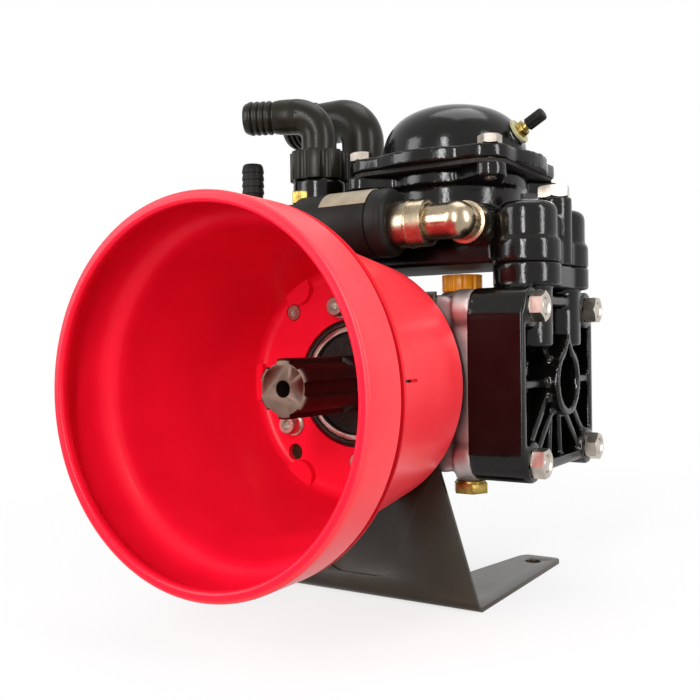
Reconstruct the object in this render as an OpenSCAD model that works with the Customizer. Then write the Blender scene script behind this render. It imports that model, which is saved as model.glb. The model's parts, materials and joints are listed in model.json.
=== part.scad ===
// Two-diaphragm pump with a power take-off shaft, a shaft guard and a folded sheet stand.
// Millimetres, +Z up. The origin is midway between the two foot bolt holes, on the floor.
// The drive shaft points to -Y, and the two pumping heads face +X and -X.

/* [Stand] */
// Height of the shaft axis above the floor
shaft_h = 136; // [125:1:150]
// Distance from the crank centre back to the foot bolt holes
holes_back = 70; // [60:1:80]
// Distance between the two foot bolt holes
foot_hole_spacing = 136; // [120:1:140]
// Diameter of a foot bolt hole
foot_hole_d = 11; // [8:0.5:13]
// Thickness of the stand's sheet
sheet_t = 3; // [2:0.5:4]
// Width of the stand at the floor
stand_w = 165; // [156:1:180]
// Width of the stand at the top of its upright
stand_top_w = 112; // [108:1:120]
// Height of the upright's top edge above the shaft axis
stand_rise = 56; // [54:1:60]
// Distance from a foot hole to the rear end of the foot
foot_tail = 18; // [14:1:30]
// Width of a foot at its rear end
foot_end_w = 28; // [24:1:34]
// Width of a foot at the bend
foot_root_w = 54; // [46:1:58]
// Outer bend radius of the sheet
bend_r = 6; // [5:0.5:9]
// Depth that the stiffening panel is pressed back into the upright
panel_deep = 1.5; // [0.5:0.5:2]

/* [Crankcase] */
// Distance from the crank centre to the front face
case_front = 54; // [52:0.5:60]
// Distance from the crank centre to the rear face
case_rear = 54; // [50:0.5:60]
// Half the height of the case's middle block
case_half_h = 54; // [52:1:58]
// Distance from the crank centre to a head flange's face
case_side = 80; // [79:0.5:84]
// Radius of the crank chamber
chamber_r = 44; // [43:0.5:46]
// Length of the front bearing's nose
nose_len = 8; // [7:0.5:10]
// Radius of the nose
nose_r = 40; // [39.5:0.25:40.5]

/* [Shaft and bearings] */
// Distance from the crank centre to the shaft's tip
shaft_tip = 136.5; // [125:0.5:150]
// Outer diameter of the six-spline shaft
spline_od = 34.9; // [34:0.1:35]
// Root diameter of the splines
spline_root = 29.7; // [29:0.1:31]
// Width of one spline tooth
spline_tooth_w = 8.6; // [8:0.1:9.5]
// Length of the splined end
spline_len = 56; // [45:1:62]
// Bore diameter of the front bearing
front_bearing_id = 35; // [35:0.5:36]
// Outer diameter of the front bearing
front_bearing_od = 72; // [70:1:74]
// Width of the front bearing
front_bearing_w = 17; // [14:0.5:18]
// Width of the oil seal
seal_w = 7; // [6:0.5:8]
// Bore diameter of the rear bearing
rear_bearing_id = 30; // [25:1:32]
// Outer diameter of the rear bearing
rear_bearing_od = 62; // [58:1:64]
// Width of the rear bearing
rear_bearing_w = 16; // [14:0.5:17]
// Throw of the eccentric, half the piston stroke
throw = 6; // [4:0.25:6]
// Radius of the eccentric
eccentric_r = 23; // [22:0.5:24]
// Outer radius of the roller sleeve on the eccentric
roller_r = 28; // [27:0.5:28]
// Width of the roller sleeve
roller_w = 28; // [22:1:32]

/* [Pistons and diaphragms] */
// Bore radius of a piston sleeve
piston_bore_r = 30; // [28:0.5:31]
// Wall of a piston sleeve
sleeve_wall = 4; // [3:0.5:4]
// Distance from the crank centre to a piston's inner end
piston_in = 46; // [46:0.5:47]
// Length of a piston
piston_len = 22; // [21:0.5:23]
// Distance from the crank centre to a gudgeon pin
pin_x = 57; // [56:0.5:58]
// Radius of a gudgeon pin
pin_r = 5; // [4:0.5:6]
// Inner radius of a connecting rod's slipper foot
foot_r = 38; // [37.5:0.5:39]
// Thickness of a diaphragm
diaphragm_t = 3; // [2:0.5:4]
// Outer radius of a diaphragm
diaphragm_r = 50.5; // [49:0.5:51]
// Radius of the disc that clamps a diaphragm to its piston
disc_r = 24; // [20:0.5:28]

/* [Heads] */
// Width of a head, front to back
head_w = 128; // [124:1:132]
// Height of a head's block
head_h = 106; // [104:1:110]
// Depth of a head from its joint face to its rim
head_depth = 35.5; // [31:0.5:38]
// Distance between the studs, front to back
stud_dy = 99; // [97:0.5:101]
// Distance between the studs, top to bottom
stud_dz = 90.4; // [88:0.2:92]
// Diameter of a head stud
stud_d = 10; // [8:1:10]
// Size of a head nut across its flats
nut_af = 16; // [15:0.5:17]
// Distance from the shaft axis up to a head's neck face
neck_z = 72; // [71:0.5:74]
// Distance from the crank centre to a valve axis, across
valve_x = 103; // [102:0.5:104]
// Distance from the crank centre to a valve axis, front to back
valve_y = 26; // [25.5:0.5:28]
// Radius of a neck flange round each valve
neck_r = 20.5; // [19.5:0.25:22]
// Lift of a valve disc
valve_lift = 3; // [2:0.25:3]

/* [Manifold and accumulator] */
// Thickness of the manifold's foot flange
manifold_flange_t = 14; // [12:0.5:16]
// Height of the manifold's rounded ends above the neck face
manifold_end_h = 37; // [36:0.5:40]
// Accumulator centre, across
dome_x = 36; // [34:1:38]
// Accumulator centre, front to back
dome_y = 14.5; // [13:0.5:16]
// Height of the accumulator's joint face above the shaft axis
dome_joint_z = 134.5; // [133:0.5:138]
// Side of the square accumulator flange
dome_flange = 112; // [108:1:114]
// Thickness of the dome's flange
dome_flange_t = 9; // [7:0.5:10]
// Radius of the dome
dome_r = 49; // [46:0.5:50]
// Height of the dome above its flange
dome_h = 38; // [34:1:42]
// Wall of the dome
dome_wall = 4; // [3:0.5:6]

/* [Control unit and fittings] */
// Control unit axis, front to back from the crank centre
unit_y = -56; // [-57:0.5:-56]
// Height of the control unit's axis above the shaft axis
unit_z = 100; // [100:0.5:102]
// Radius of the control unit's body
unit_r = 21.5; // [20:0.5:21.75]
// Length of the control unit's body
unit_len = 67.5; // [64:0.5:69]
// Right end of the control unit's body, from the crank centre
unit_right = 30.5; // [29:0.5:31]
// Outer radius of the outlet elbow's tube
outlet_r = 11; // [10:0.25:12]
// Return elbow position across
return_x = -59; // [-61:0.5:-58]
// Return elbow position front to back
return_y = -9; // [-9.5:0.5:-8]
// Outer radius of the return elbow's tube
return_r = 12.5; // [11:0.25:13]
// Turn of the return elbow towards the front, degrees
return_turn = 24; // [0:1:35]
// Suction elbow position across
suction_x = -52; // [-54:0.5:-52]
// Suction elbow position front to back
suction_y = 40; // [39:0.5:42]
// Outer radius of the suction elbow's tube
suction_r = 16; // [15:0.25:17]

/* [Guard] */
// Distance from the crank centre to the guard's mouth
guard_mouth = 212; // [205:1:225]
// Outer radius of the guard's mouth rim
guard_mouth_r = 102; // [100:0.5:106]
// Length of the mouth rim
guard_rim_len = 32; // [25:1:40]
// Outer radius of the guard's body behind the rim
guard_front_r = 96; // [94:0.5:98]
// Outer radius of the guard's body at its back plate
guard_rear_r = 79; // [78:0.25:79]
// Wall of the guard
guard_wall = 3; // [2.5:0.25:4]
// Thickness of the guard's back plate
guard_plate_t = 4; // [3:0.5:5]

/* [Hidden] */
$fn = 72;

// Gaps: running fits, valve seats, moving bodies, and overlap inside one solid
fit_gap = 0.05;
seat_gap = 0.1;
body_gap = 0.35;
eps = 0.01;
// Longer than any cut
through = 400;

// Stand
crank_y = -holes_back;
sheet_front = case_front + sheet_t;
knee_drop = 48;
gap_start = 14;
gusset_x = 54;
gusset_w = 7;
gusset_len = 40;
gusset_h = 24;
panel_w = 56;
panel_bottom = 14;
panel_top = shaft_h - case_half_h - 6;
panel_corner = 16;
foot_corner = 5;
screw_r = 4;
screw_sunk = 11;
screw_head_r = 6.5;
washer_t = 1.5;
screw_washer_r = screw_head_r + 1.5;
plate_screw_r = 4.8;
plate_head_h = 4;
plate_socket_r = 2.6;
plate_socket_deep = 1.6;
screw_head_h = 8;
socket_r = 3.4;
socket_deep = 5;

// Crankcase
case_corner = 10;
flange_t = 12;
flange_w = 2 * case_front + 4;
case_half_w = case_side - flange_t + 1;
snap_t = 2.4;
snap_inset = 1.6;
snap_back = case_front + nose_len - snap_inset - snap_t;
snap_r = front_bearing_od / 2 + 1.3;
snap_w = 4;
snap_gap = 9;
snap_split = 135;
snap_ear_r = 3.5;
snap_ear_turn = 13;
bearing_back = snap_back - seal_w - front_bearing_w;
bearing_lip = 4;
chamber_front = bearing_back - 1.2;
cover_t = 7;
cover_r = case_half_h - 1;
cover_screw_r = chamber_r + 5;
cover_screw_d = 6;
cover_screw_sunk = 12;
cover_screw_af = 10;
cover_screw_head = 4.2;
cover_boss_r = rear_bearing_od / 2 + 5;
cover_boss_len = rear_bearing_w + 1;
cover_rib_w = 4;
cover_rib_h = 3;
filler_x = 43;
filler_y = 10;
filler_r = 9;
filler_boss_r = 14;
filler_boss_h = 5;
filler_plug = 8;
filler_cap_r = 13.5;
filler_cap_h = 11;
filler_knurl_r = 1.6;
filler_knurl_out = 0.6;
drain_x = 71;
drain_y = -41;
drain_r = 6;
drain_boss_r = 9;
drain_boss_h = 5;
drain_face = max(head_h / 2, case_half_h) + drain_boss_h;
drain_deep = 8;
drain_duct_r = 2.5;
drain_duct_y = drain_y + 5;
drain_duct_top = 20;
drain_washer_t = 1.5;
drain_head_h = 6;
drain_af = 19;

// Shaft and bearings
tip_chamfer = 1.5;
centre_hole_r = 5;
centre_hole_deep = 14;
shoulder_r = 20;
rear_shoulder_r = 18;
shaft_end_gap = 2;
rear_bearing_front = case_rear - cover_boss_len;
seal_dish = 2.5;
seal_rim = 3;
seal_lip = 2.5;

// Pistons, rods and diaphragms
recess_r = 45;
recess_floor = 66;
sleeve_in = 44;
stem_r = 12;
slot_w = 23;
slot_h = 28;
slot_end = 0.5;
eye_r = pin_r + 3.5;
pin_half = 27;
rod_w = 21;
shank_h = 12;
shoe_w = 24;
shoe_t = 4;
shoe_turn = 28;
disc_in = case_side - 2.5;
disc_t = 8;
disc_bolt_af = 10;
disc_bolt_h = 3;

// Heads
head_face = case_side;
head_rim = head_face + head_depth;
head_corner = 14;
head_base = 19;
head_chamber = 16;
rim_t = 6;
rim_sunk = 1;
stud_points = [for (sy = [-1, 1], sz = [-1, 1]) [sy * stud_dy / 2, sz * stud_dz / 2]];
stud_boss_r = stud_d / 2 + 7;
stud_sunk = flange_t - 1;
stud_short = 0.6;
nut_h = 8;
hub_r = 21;
hub_hole_r = 16.5;
hub_hole_deep = 14;
hub_proud = 4.5;
drop_side = 0.92;
drop_low = 0.2;
drop_tip = 1.42;
rib_w = 5;
rib_sunk = 2.5;
rib_pair = 6;
rib_end = 2;
rib_splay = 5;
low_rib_sunk = rib_sunk + 2;
column_r = 15;
column_bottom = 22;
neck_t = 14;
neck_waist = 4;
port_r = 7.5;
port_z = 34;
side_port_r = 6;
clamp_x = valve_x + 8;
clamp_d = 12;
clamp_af = 18;
clamp_head_h = 7.5;
clamp_sunk = 12;
clamp_boss_r = 11;
clamp_boss_rise = 5;

// Valves
valve_bore_r = 14.5;
spring_shut = 4.7;
valve_hole_r = 8;
seat_t = 3;
cage_r = 11.6;
cage_bar = 4;
cage_bar_t = 2;
valve_disc_t = 2;
spring_r = 6.5;
spring_wire = 1.3;
spring_turns = 3.5;
spring_len = valve_lift + spring_shut;
valve_len = seat_t + valve_disc_t + spring_len + cage_bar_t + 3 * seat_gap;

// Manifold and accumulator
drum_r = 18.5;
drum_edge = 6;
block_front = valve_y + 8;
block_rear = valve_y + 14;
block_rise = 1.5;
block_h = 32.5;
duct_z = neck_z + 19;
duct_y = valve_y - 6;
duct_r = 8;
feed_r = 5;
feed_y = 3 - duct_y;
bowl_bottom = neck_z + 38;
bowl_root = 12;
bowl_r = dome_r - 3;
bowl_wall = 5;
bowl_flange_t = 9;
bowl_rim = 3;
dome_corner = 18;
lug_r = 10;
lug_root = 30;
dome_bolt = dome_flange / 2 - 10;
dome_bolt_d = 8;
dome_bolt_af = 13;
dome_bolt_head = 5.6;
dome_bolt_end = 1.5;
gasket_t = 2.5;
gasket_inset = 3;
dome_blunt = 0.8;
air_turn = -5;
air_x = dome_r - 1;
air_z = 15;
air_rise = 28;
air_boss = 14;
air_boss_r = 8;
air_washer_r = 8.4;
air_stem_r = 4;
air_washer_t = 1.6;
air_af = 9.5;
air_hex_h = 4;
air_neck_r = 2.8;
air_neck = 9;
air_neck_bare = 2.5;
air_cap_r = 4.2;
air_cap_h = 12.5;
air_cap_edge = 1.5;
air_flute_r = 0.8;
air_flute_out = 0.3;
air_flute_short = 3;

// Control unit and fittings
tube_wall = 2.5;
barb_h = 1.5;
boss_wall = 4;
barb_tip = 1.5;
barb_pitch = 4.5;
barb_land = 1.5;
return_barbs = 4;
suction_barbs = 5;
unit_left = unit_right - unit_len;
unit_neck_x = -10;
unit_neck_drop = 8;
unit_neck_r = 11;
unit_collar = 13;
unit_edge = 5;
groove_w = 1.4;
groove_deep = 0.9;
bonnet_len = 12;
bonnet_r = 18;
knob_r = 16;
knob_len = 25;
knob_flute_r = 2.8;
knob_flute_out = 1.2;
knob_flute_short = 4;
knob_stem_r = 6;
knob_stem_in = 8;
gauge_r = 3;
gauge_deep = 6;
gauge_end_gap = 0.5;
gauge_af = 10;
gauge_h = 8;
plate_x = unit_left + 21;
plate_len = 34;
plate_start = 188;
plate_span = 52;
plate_t = 0.4;
outlet_x = unit_right + 40.5;
outlet_drop = 2;
outlet_z = unit_z - outlet_drop;
outlet_plug = 10;
outlet_lip = 2;
ball_proud = 0.6;
collar_r = outlet_r + 3.5;
collar_len = 22;
band_w = 2;
band_proud = 0.6;
return_seat = neck_z + 75;
spigot_r = return_r + 2.5;
spigot_h = 6;
elbow_collar_t = 5;
collar_inset = 0.5;
return_leg = 24.5;
return_bend = 17;
return_tail = 37;
return_tail_r = return_r - 1.7;
return_crest_r = return_r - 0.5;
union_r = spigot_r + 6;
union_h = 20.5;
union_flute_r = 4.5;
union_flute_out = 2;
suction_seat = neck_z + 56;
suction_leg = 48;
suction_bend = 20;
suction_tail = 45;
suction_collar_t = 10;
tail_shift = 3;
tail_r = 7.3;
tail_barb = 0.7;
tail_pitch = 5;
tail_barbs = 4;
tail_af = 19;
tail_hex_h = 9;
tail_len = 38;

// Guard
guard_plate_front = sheet_front + guard_plate_t;
guard_open_r = nose_r + 1;
guard_corner = 10;
guard_corner_end = sheet_front + guard_corner;
rim_taper = 0.7;
lip_edge = 1.2;
guard_groove = 1.8;
groove_len = 3;
groove_slope = 2;
guard_lip = 6.5;
guard_screw_points = [[-46.5, -27.5], [46.5, 27.5], [-8, 48.8], [8, -48.8]];
plate_screw_points = [[-46, 46], [46, 46], [46, -46]];
plate_hole_r = plate_screw_r + 0.6;
guard_drain_point = [-46, -46];
lobe_x = 40;
lobe_z = 61;
lobe_r = 10;
lobe_h = 5;
lobe_inset = 3.5;
notch_x = 73;
notch_w = 6;
notch_h = 24;

// Places and turns

module at_crank() {
    translate([0, crank_y, shaft_h]) children();
}

// Local z runs to -Y, local y to +Z
module to_front() {
    rotate([90, 0, 0]) children();
}

// Local z runs to +X, local x to +Y, local y to +Z
module to_right() {
    rotate([90, 0, 90]) children();
}

module on_side(side) {
    if (side > 0) children();
    else mirror([1, 0, 0]) children();
}

// One place per valve, with its local z pointing along the flow
module at_valve(side, port) {
    translate([side * valve_x, port * valve_y, neck_z - valve_len / 2])
        rotate([port > 0 ? 180 : 0, 0, 0])
            translate([0, 0, -valve_len / 2]) children();
}

// Shapes that repeat

module round_rect(w, h, r) {
    square([w - 2 * r, h], center = true);
    square([w, h - 2 * r], center = true);
    for (sx = [-1, 1], sy = [-1, 1])
        translate([sx * (w / 2 - r), sy * (h / 2 - r)]) circle(r);
}

module ring(r_out, r_in, h) {
    difference() {
        cylinder(r = r_out, h = h);
        translate([0, 0, -1]) cylinder(r = r_in, h = h + 2);
    }
}

module hex_bar(af, h) {
    cylinder(r = af / 2 / cos(30), h = h, $fn = 6);
}

module hex_bolt(d, af, head_h, shank) {
    hex_bar(af, head_h);
    translate([0, 0, -shank]) cylinder(d = d, h = shank + eps);
}

// A bearing ring with a sunk shield between its two races
module bearing(r_in, r_out, w) {
    race = (r_out - r_in) / 4;
    sunk = 0.8;
    difference() {
        ring(r_out, r_in, w);
        translate([0, 0, -1]) ring(r_out - race, r_in + race, sunk + 1);
        translate([0, 0, w - sunk]) ring(r_out - race, r_in + race, sunk + 1);
    }
}

// Points of a hose tail's outline: ramps that end in narrow lands
function tail_outline(r_root, r_crest, len, first, pitch, land, count) = concat(
    [[0, 0], [r_root, 0]],
    [for (i = [count - 1 : -1 : 0], k = [0 : 3])
        let (tip = len - first - i * pitch)
        [k == 1 || k == 2 ? r_crest : r_root,
         tip - pitch + (k == 0 ? 0 : k == 1 ? 0 : k == 2 ? land : pitch)]],
    [[r_root - 1, len], [0, len]]);

module hose_tail(r_root, r_crest, len, first, pitch, land, count) {
    rotate_extrude()
        polygon(tail_outline(r_root, r_crest, len, first, pitch, land, count));
}

// A tube that rises, bends to -X and ends in a barbed hose tail
module tail_elbow(r_tube, r_tail, r_crest, leg, bend, tail, barbs) {
    bore = r_tail - tube_wall;
    difference() {
        union() {
            cylinder(r = r_tube, h = leg);
            translate([-bend, 0, leg]) rotate([90, 0, 0])
                rotate_extrude(angle = 90) translate([bend, 0]) circle(r_tube);
            translate([-bend, 0, leg + bend]) rotate([0, -90, 0])
                hose_tail(r_tail, r_crest, tail, barb_tip, barb_pitch, barb_land, barbs);
        }
        translate([0, 0, -1]) cylinder(r = bore, h = leg + 1);
        translate([-bend, 0, leg]) rotate([90, 0, 0])
            rotate_extrude(angle = 90) translate([bend, 0]) circle(bore);
        translate([-bend, 0, leg + bend]) rotate([0, -90, 0])
            cylinder(r = bore, h = tail + 1);
    }
}

// A round wire wound into an open coil
module coil(mean_r, wire_r, len, turns) {
    steps = 14;
    sides = 6;
    count = floor(turns * steps);
    rise = len - 2 * wire_r;
    rings = [for (i = [0 : count]) let (a = 360 * i / steps)
        [for (j = [0 : sides - 1]) let (b = 360 * j / sides, r = mean_r + wire_r * cos(b))
            [r * cos(a), r * sin(a), wire_r + rise * i / count + wire_r * sin(b)]]];
    points = [for (row = rings) for (p = row) p];
    walls = [for (i = [0 : count - 1], j = [0 : sides - 1]) let (k = (j + 1) % sides)
        [i * sides + j, (i + 1) * sides + j, (i + 1) * sides + k, i * sides + k]];
    first_cap = [for (j = [0 : sides - 1]) j];
    last_cap = [for (j = [sides - 1 : -1 : 0]) count * sides + j];
    polyhedron(points, concat(walls, [first_cap, last_cap]));
}

// Stand

module strip_profile() {
    front = -holes_back - sheet_front;
    length = foot_tail - front;
    height = shaft_h + stand_rise;
    translate([front, bend_r]) square([sheet_t, height - bend_r]);
    translate([front + bend_r, 0]) square([length - bend_r, sheet_t]);
    translate([front + bend_r, bend_r]) intersection() {
        difference() {
            circle(bend_r);
            circle(bend_r - sheet_t);
        }
        translate([-bend_r, -bend_r]) square(bend_r);
    }
}

module stand_outline() {
    knee = shaft_h - knee_drop;
    top = shaft_h + stand_rise;
    w = stand_w / 2;
    t = stand_top_w / 2;
    polygon([[-w, -1], [w, -1], [w, sheet_t], [t, knee], [t, top], [-t, top], [-t, knee], [-w, sheet_t]]);
}

module foot_gap() {
    root = stand_w / 2 - foot_root_w;
    end = stand_w / 2 - foot_end_w;
    front = crank_y - sheet_front + gap_start;
    polygon([[-root, front], [root, front], [end, foot_tail + 1], [-end, foot_tail + 1]]);
}

module gusset() {
    back = crank_y - case_front;
    translate([gusset_x - gusset_w / 2, 0, 0]) to_right() linear_extrude(gusset_w)
        polygon([[back - eps, sheet_t - eps], [back + gusset_len, sheet_t - eps],
                 [back - eps, sheet_t + gusset_h]]);
}

module panel_sheet(grow, depth) {
    w = panel_w + 2 * grow;
    h = panel_top - panel_bottom + 2 * grow;
    translate([0, 0, (panel_top + panel_bottom) / 2]) to_front()
        linear_extrude(depth) round_rect(w, h, panel_corner + grow);
}

module base_bracket() color("#3a342e") difference() {
    union() {
        intersection() {
            translate([-stand_w / 2, 0, 0]) to_right() linear_extrude(stand_w) strip_profile();
            to_front() linear_extrude(through, center = true) stand_outline();
        }
        for (side = [-1, 1]) on_side(side) gusset();
        translate([0, crank_y - case_front + panel_deep, 0]) panel_sheet(panel_deep, panel_deep + eps);
    }
    translate([0, crank_y - sheet_front + panel_deep, 0]) panel_sheet(0, panel_deep + 1);
    translate([0, 0, -1]) linear_extrude(bend_r + 2) foot_gap();
    for (side = [-1, 1]) {
        translate([side * foot_hole_spacing / 2, 0, -1]) cylinder(d = foot_hole_d, h = sheet_t + 2);
        translate([side * (stand_w / 2 - foot_corner), foot_tail - foot_corner, -1])
            rotate([0, 0, side > 0 ? 0 : 90]) corner_cut();
        translate([side * (stand_w / 2 - foot_end_w + foot_corner), foot_tail - foot_corner, -1])
            rotate([0, 0, side > 0 ? 90 : 0]) corner_cut();
    }
    at_crank() {
        to_front() cylinder(r = nose_r + body_gap, h = through);
        for (p = concat(guard_screw_points, plate_screw_points))
            translate([p.x, 0, p.y]) to_front() cylinder(r = screw_r + fit_gap, h = through);
    }
}

// What is cut away to round a foot's rear corner
module corner_cut() {
    difference() {
        cube([foot_corner + 1, foot_corner + 1, sheet_t + 2]);
        translate([0, 0, -1]) cylinder(r = foot_corner, h = sheet_t + 4);
    }
}

// Crankcase

module stud_outline(w) {
    round_rect(w, head_h, head_corner);
    for (p = stud_points) translate(p) circle(stud_boss_r);
}

module crankcase() color("#a99b98") at_crank() difference() {
    union() {
        translate([0, case_rear, 0]) to_front() linear_extrude(case_front + case_rear)
            round_rect(2 * case_half_w, 2 * case_half_h, case_corner);
        for (side = [-1, 1]) on_side(side)
            translate([case_side - flange_t, 0, 0]) to_right()
                linear_extrude(flange_t) stud_outline(flange_w);
        translate([0, -case_front + eps, 0]) to_front() cylinder(r = nose_r, h = nose_len + eps);
        translate([filler_x, filler_y, 0])
            cylinder(r = filler_boss_r, h = case_half_h + filler_boss_h);
        translate([drain_x, drain_y, -drain_face]) cylinder(r = drain_boss_r, h = drain_face / 2);
    }
    translate([0, case_rear + 1, 0]) to_front()
        cylinder(r = chamber_r, h = case_rear + 1 + chamber_front);
    translate([0, -bearing_back, 0]) to_front()
        cylinder(r = front_bearing_od / 2 + fit_gap, h = through);
    to_front() cylinder(r = front_bearing_od / 2 - bearing_lip, h = bearing_back + 1);
    translate([0, -snap_back + seat_gap, 0]) to_front()
        cylinder(r = snap_r + seat_gap, h = snap_t + 2 * seat_gap);
    for (side = [-1, 1]) on_side(side) {
        rotate([0, 90, 0]) cylinder(r = piston_bore_r + sleeve_wall + fit_gap, h = recess_floor + 1);
        translate([recess_floor, 0, 0]) rotate([0, 90, 0]) cylinder(r = recess_r, h = through);
        for (p = stud_points) translate([case_side - stud_sunk, p.x, p.y]) rotate([0, 90, 0])
            cylinder(r = stud_d / 2 + fit_gap, h = through);
    }
    for (p = concat(guard_screw_points, plate_screw_points))
        translate([p.x, -case_front + screw_sunk, p.y]) to_front()
            cylinder(r = screw_r + fit_gap, h = through);
    for (a = [0 : 60 : 300]) rotate([0, a, 0]) translate([0, case_rear + 1, cover_screw_r])
        to_front() cylinder(r = cover_screw_d / 2 + fit_gap, h = cover_screw_sunk + 1);
    translate([filler_x, filler_y, 0]) cylinder(r = filler_r + fit_gap, h = through);
    translate([drain_x, drain_y, -drain_face - 1]) cylinder(r = drain_r + fit_gap, h = drain_deep + 1);
    translate([drain_x, drain_duct_y, -drain_face + drain_boss_h])
        cylinder(r = drain_duct_r, h = drain_face - drain_boss_h - drain_duct_top);
}

module rear_cover() color("#a99b98") at_crank() difference() {
    union() {
        translate([0, case_rear + cover_t, 0]) to_front() cylinder(r = cover_r, h = cover_t);
        translate([0, case_rear + eps, 0]) to_front() cylinder(r = cover_boss_r, h = cover_boss_len + eps);
        for (a = [0 : 60 : 300]) rotate([0, a + 30, 0])
            translate([-cover_rib_w / 2, case_rear + cover_t - eps, 0])
                cube([cover_rib_w, cover_rib_h, cover_screw_r]);
    }
    translate([0, case_rear, 0]) to_front() cylinder(r = rear_bearing_od / 2 + fit_gap, h = through);
    for (a = [0 : 60 : 300]) rotate([0, a, 0]) translate([0, case_rear + through / 2, cover_screw_r])
        to_front() cylinder(r = cover_screw_d / 2 + fit_gap, h = through);
}

module rear_cover_screws() color("#c9c2ba") at_crank()
    for (a = [0 : 60 : 300]) rotate([0, a, 0])
        translate([0, case_rear + cover_t, cover_screw_r]) rotate([-90, 0, 0])
            hex_bolt(cover_screw_d, cover_screw_af, cover_screw_head, cover_t + cover_screw_sunk - 1);

module drain_plug() color("#b99a2e") at_crank()
    translate([drain_x, drain_y, -drain_face]) {
        translate([0, 0, -drain_washer_t]) ring(drain_boss_r, drain_r + fit_gap, drain_washer_t);
        translate([0, 0, -drain_washer_t - drain_head_h]) hex_bar(drain_af, drain_head_h);
        translate([0, 0, -drain_washer_t - eps]) cylinder(r = drain_r, h = drain_boss_h + drain_washer_t);
    }

module oil_filler_cap() color("#ffaf1e") at_crank()
    translate([filler_x, filler_y, case_half_h + filler_boss_h]) {
        difference() {
            cylinder(r = filler_cap_r, h = filler_cap_h);
            for (a = [0 : 30 : 330]) rotate([0, 0, a])
                translate([filler_cap_r + filler_knurl_out, 0, -1])
                    cylinder(r = filler_knurl_r, h = filler_cap_h + 2);
        }
        translate([0, 0, -filler_plug]) cylinder(r = filler_r, h = filler_plug + eps);
    }

// Shaft and bearings

module spline_bar() {
    r = spline_od / 2;
    start = shaft_tip - spline_len;
    intersection() {
        union() {
            translate([0, 0, start]) cylinder(r = r, h = spline_len - tip_chamfer);
            translate([0, 0, shaft_tip - tip_chamfer])
                cylinder(r1 = r, r2 = r - tip_chamfer, h = tip_chamfer);
        }
        union() {
            translate([0, 0, start]) cylinder(r = spline_root / 2, h = spline_len);
            for (a = [0 : 60 : 300]) rotate([0, 0, a + 30])
                translate([0, -spline_tooth_w / 2, start]) cube([spline_od, spline_tooth_w, spline_len]);
        }
    }
}

module pto_shaft() color("#2d2424") at_crank() to_front() difference() {
    union() {
        spline_bar();
        translate([0, 0, roller_w / 2])
            cylinder(r = spline_od / 2, h = shaft_tip - spline_len - roller_w / 2 + eps);
        translate([0, 0, roller_w / 2 - eps])
            cylinder(r = shoulder_r, h = bearing_back - body_gap - roller_w / 2);
        translate([0, throw, -roller_w / 2]) cylinder(r = eccentric_r, h = roller_w);
        translate([0, 0, -rear_bearing_front + body_gap])
            cylinder(r = rear_shoulder_r, h = rear_bearing_front - body_gap - roller_w / 2 + eps);
        translate([0, 0, -case_rear + shaft_end_gap])
            cylinder(r = rear_bearing_id / 2 - fit_gap, h = case_rear - shaft_end_gap - roller_w / 2 + eps);
    }
    translate([0, 0, shaft_tip - centre_hole_deep]) cylinder(r = centre_hole_r, h = centre_hole_deep + 1);
}

module eccentric_roller() color("#9aa0a4") at_crank() to_front()
    translate([0, throw, -roller_w / 2]) ring(roller_r, eccentric_r + fit_gap, roller_w);

module front_bearing() color("#8f959a") at_crank() translate([0, -bearing_back, 0]) to_front()
    bearing(front_bearing_id / 2, front_bearing_od / 2, front_bearing_w);

module rear_bearing() color("#8f959a") at_crank() translate([0, case_rear - 1, 0]) to_front()
    bearing(rear_bearing_id / 2, rear_bearing_od / 2, rear_bearing_w);

module oil_seal() color("#3b3632") at_crank()
    translate([0, -bearing_back - front_bearing_w, 0]) to_front() difference() {
        ring(front_bearing_od / 2, front_bearing_id / 2, seal_w);
        translate([0, 0, seal_w - seal_dish])
            ring(front_bearing_od / 2 - seal_rim, front_bearing_id / 2 + seal_lip, seal_dish + 1);
    }

module snap_ring() color("#d5d0ca") at_crank() translate([0, -snap_back, 0]) to_front() {
    difference() {
        ring(snap_r, snap_r - snap_w, snap_t);
        rotate([0, 0, snap_split]) translate([snap_r / 2, -snap_gap / 2, -1])
            cube([snap_r, snap_gap, snap_t + 2]);
    }
    for (side = [-1, 1]) rotate([0, 0, snap_split + side * snap_ear_turn])
        translate([snap_r - snap_w, 0, 0]) ring(snap_ear_r, snap_ear_r / 2, snap_t);
}

// Pistons, rods and diaphragms

module sleeve(side) color("#8d8f90") at_crank() on_side(side)
    translate([sleeve_in, 0, 0]) rotate([0, 90, 0])
        ring(piston_bore_r + sleeve_wall, piston_bore_r, recess_floor - sleeve_in);

module piston(side) color("#b7b9ba") at_crank() on_side(side) difference() {
    union() {
        translate([piston_in, 0, 0]) rotate([0, 90, 0]) {
            cylinder(r = piston_bore_r - fit_gap, h = piston_len);
            cylinder(r = stem_r, h = disc_in - piston_in);
        }
    }
    translate([piston_in - 1, -slot_w / 2, -slot_h / 2])
        cube([pin_x + eye_r + slot_end - piston_in + 1, slot_w, slot_h]);
    translate([pin_x, 0, 0]) to_front() cylinder(r = pin_r + fit_gap, h = through, center = true);
}

module gudgeon_pin(side) color("#c8ccd0") at_crank() on_side(side)
    translate([pin_x, 0, 0]) to_front() cylinder(r = pin_r, h = 2 * pin_half, center = true);

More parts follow.
